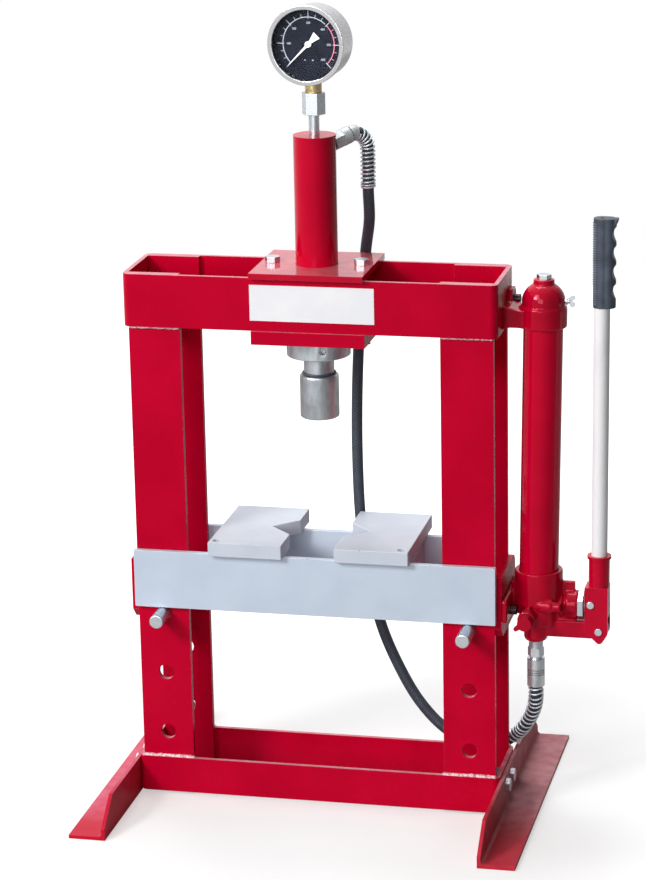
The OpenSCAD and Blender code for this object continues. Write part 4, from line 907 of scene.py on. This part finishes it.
def ribTree():
    tree, given, end = growTree("gripRibs", Count="Int", Pitch="Float", Wire="Float", Material="Material")
    curve = addNode(tree, "GeometryNodeMeshToCurve", {0: given["Geometry"]}).outputs[0]
    ring = addNode(tree, "GeometryNodeCurvePrimitiveCircle", {"Resolution": ribs["sides"],
                                                              "Radius": given["Wire"]}).outputs[0]
    rib = addNode(tree, "GeometryNodeCurveToMesh", {"Curve": curve, "Profile Curve": ring,
                                                    "Fill Caps": True}).outputs[0]
    step = addNode(tree, "ShaderNodeCombineXYZ", {"Z": given["Pitch"]}).outputs[0]
    line = addNode(tree, "GeometryNodeMeshLine", {"Count": given["Count"], "Offset": step}).outputs[0]
    rows = addNode(tree, "GeometryNodeInstanceOnPoints", {"Points": line, "Instance": rib}).outputs[0]
    endTree(tree, rows, given["Material"], end)
    return tree


def makeRibs():
    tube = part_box("lever_tube")
    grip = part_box("lever_grip")
    centre = (tube[0] + tube[1]) / 2
    radius = centre.x - grip[0].x - ribs["sunk"]
    turns = [math.radians(180 + ribs["arc"] * (i / ribs["steps"] - 0.5)) for i in range(ribs["steps"] + 1)]
    z = grip[0].z + ribs["start"]
    arc = [Vector((centre.x + radius * math.cos(t), centre.y + radius * math.sin(t), z)) for t in turns]
    piece = grown("gripRibs", lineMesh("ribLine", arc), ribTree(), Count=ribs["count"], Pitch=ribs["pitch"],
                  Wire=ribs["wire"], Material=rubbedRubber)
    finishPiece(piece, "lever", "black_rubber")


makeRibs()
print("grip ribbed")


# Table: white, and it ends just in front of the press
table = {"front": -0.42, "back": 3.0, "side": 2.2, "tones": ((0.2, "#bebebe"), (0.8, "#c6c6c6")), "tone": 900.0,
         "lift": 0.48, "near": 0.35, "far": 1.1}


def makeFloor():
    x, near, far = table["side"], table["front"], table["back"]
    mesh = bpy.data.meshes.new("floor")
    mesh.from_pydata([(-x, near, 0), (x, near, 0), (x, far, 0), (-x, far, 0)], [], [(0, 1, 2, 3)])
    material = bpy.data.materials.new("paintedTable")
    material.use_nodes = True
    tree = material.node_tree
    tree.nodes.clear()
    place = addNode(tree, "ShaderNodeTexCoord").outputs["Object"]
    tone, = clouded(tree, place, table["tone"], 3, table["tones"])
    paint = addNode(tree, "ShaderNodeBsdfDiffuse", {"Color": tone}).outputs[0]
    path = addNode(tree, "ShaderNodeLightPath").outputs
    seen = addNode(tree, "ShaderNodeMath", {0: path["Is Camera Ray"], 1: path["Is Transmission Ray"]},
                   operation="MAXIMUM").outputs[0]
    # paler away from the press, so that the table melts into the backdrop
    reach = addNode(tree, "ShaderNodeVectorMath", {0: place}, operation="LENGTH").outputs["Value"]
    lift = addNode(tree, "ShaderNodeMapRange", {"Value": reach, "From Min": table["near"], "From Max": table["far"],
                                                "To Min": table["lift"], "To Max": 1.0}).outputs[0]
    level = addNode(tree, "ShaderNodeMath", {0: seen, 1: lift}, operation="MULTIPLY").outputs[0]
    glow = addNode(tree, "ShaderNodeEmission", {"Strength": level}).outputs[0]
    both = addNode(tree, "ShaderNodeAddShader", {0: paint, 1: glow}).outputs[0]
    addNode(tree, "ShaderNodeOutputMaterial", {"Surface": both})
    mesh.materials.append(material)
    asObject("floor", mesh)


# Room: what shines sees a white backdrop behind and above and a darker room ahead, dimmer at the right, with one
# softbox. What doesn't shine takes the ambient light, shaded from the right. Each part of it is an axis of the
# room, where the part starts and ends along it from -1 to 1, and its level at those two places
room = {
    "ahead": ("Z", -0.15, 0.3, 0.75, 0.85),
    "behind": ("Y", -0.1, 0.5, 0.0, 1.0),
    "right": ("X", 0.05, 0.8, 1.0, 0.4),
    "ambient": ("Z", -0.3, 1.0, 0.231, 0.495),
    "shaded": ("X", -1.0, 0.45, 1.6, 0.0),
    "softbox": {"toward": (-0.5, -0.68, 0.54), "edge": 0.96, "full": 0.975, "shine": 10.0},
}


def makeWorld():
    world = bpy.data.worlds.new("studio")
    scene.world = world
    world.use_nodes = True
    tree = world.node_tree
    tree.nodes.clear()
    place = addNode(tree, "ShaderNodeTexCoord").outputs["Generated"]
    axes = addNode(tree, "ShaderNodeSeparateXYZ", {0: place}).outputs
    path = addNode(tree, "ShaderNodeLightPath").outputs
    mirrored = addNode(tree, "ShaderNodeMath", {0: path["Is Glossy Ray"], 1: path["Is Transmission Ray"]},
                       operation="MAXIMUM").outputs[0]
    levels = {}
    for part in ("ahead", "behind", "right", "ambient", "shaded"):
        axis, *span = room[part]
        ends = dict(zip(("From Min", "From Max", "To Min", "To Max"), span))
        levels[part] = addNode(tree, "ShaderNodeMapRange", {"Value": axes[axis], **ends}).outputs[0]
    softbox = room["softbox"]
    toward = addNode(tree, "ShaderNodeVectorMath", {0: place, 1: softbox["toward"]},
                     operation="DOT_PRODUCT").outputs["Value"]
    shine = addNode(tree, "ShaderNodeMapRange", {"Value": toward, "From Min": softbox["edge"],
                                                 "From Max": softbox["full"], "To Max": softbox["shine"]}).outputs[0]
    wall = addNode(tree, "ShaderNodeMix", {"Factor": levels["behind"], "A": levels["ahead"], "B": 1.0}).outputs[0]
    wall = addNode(tree, "ShaderNodeMath", {0: wall, 1: levels["right"]}, operation="MULTIPLY").outputs[0]
    wall = addNode(tree, "ShaderNodeMath", {0: wall, 1: shine}, operation="ADD").outputs[0]
    ambient = addNode(tree, "ShaderNodeMath", {0: levels["ambient"], 1: levels["shaded"]},
                      operation="MULTIPLY").outputs[0]
    level = addNode(tree, "ShaderNodeMix", {"Factor": mirrored, "A": ambient, "B": wall}).outputs[0]
    # the camera itself sees plain white
    level = addNode(tree, "ShaderNodeMix", {"Factor": path["Is Camera Ray"], "A": level, "B": 1.0}).outputs[0]
    glow = addNode(tree, "ShaderNodeBackground", {"Color": (1, 1, 1, 1), "Strength": level}).outputs[0]
    addNode(tree, "ShaderNodeOutputWorld", {"Surface": glow})


# Soft lamps, all aimed at the middle of the press: place and size in metres, power in watts
lampAim = (0, 0, 0.5)
lamps = {
    "key": {"place": (-2.2, -2.9, 2.6), "size": 1.0, "power": 97},
    "front": {"place": (-0.3, -3.6, 1.5), "size": 1.6, "power": 48},
    "back": {"place": (-0.4, 1.2, 3.6), "size": 1.8, "power": 75},
}


def makeLamps():
    for name, lamp in lamps.items():
        data = bpy.data.lights.new(name, "AREA")
        data.shape = "SQUARE"
        data.size = lamp["size"]
        data.energy = lamp["power"]
        thing = asObject(name, data)
        aim = Vector(lampAim) - Vector(lamp["place"])
        thing.matrix_world = Matrix.Translation(lamp["place"]) @ aim.to_track_quat("-Z", "Y").to_matrix().to_4x4()


makeFloor()
makeWorld()
makeLamps()
scene.view_settings.view_transform = "Standard"
print("studio lit")
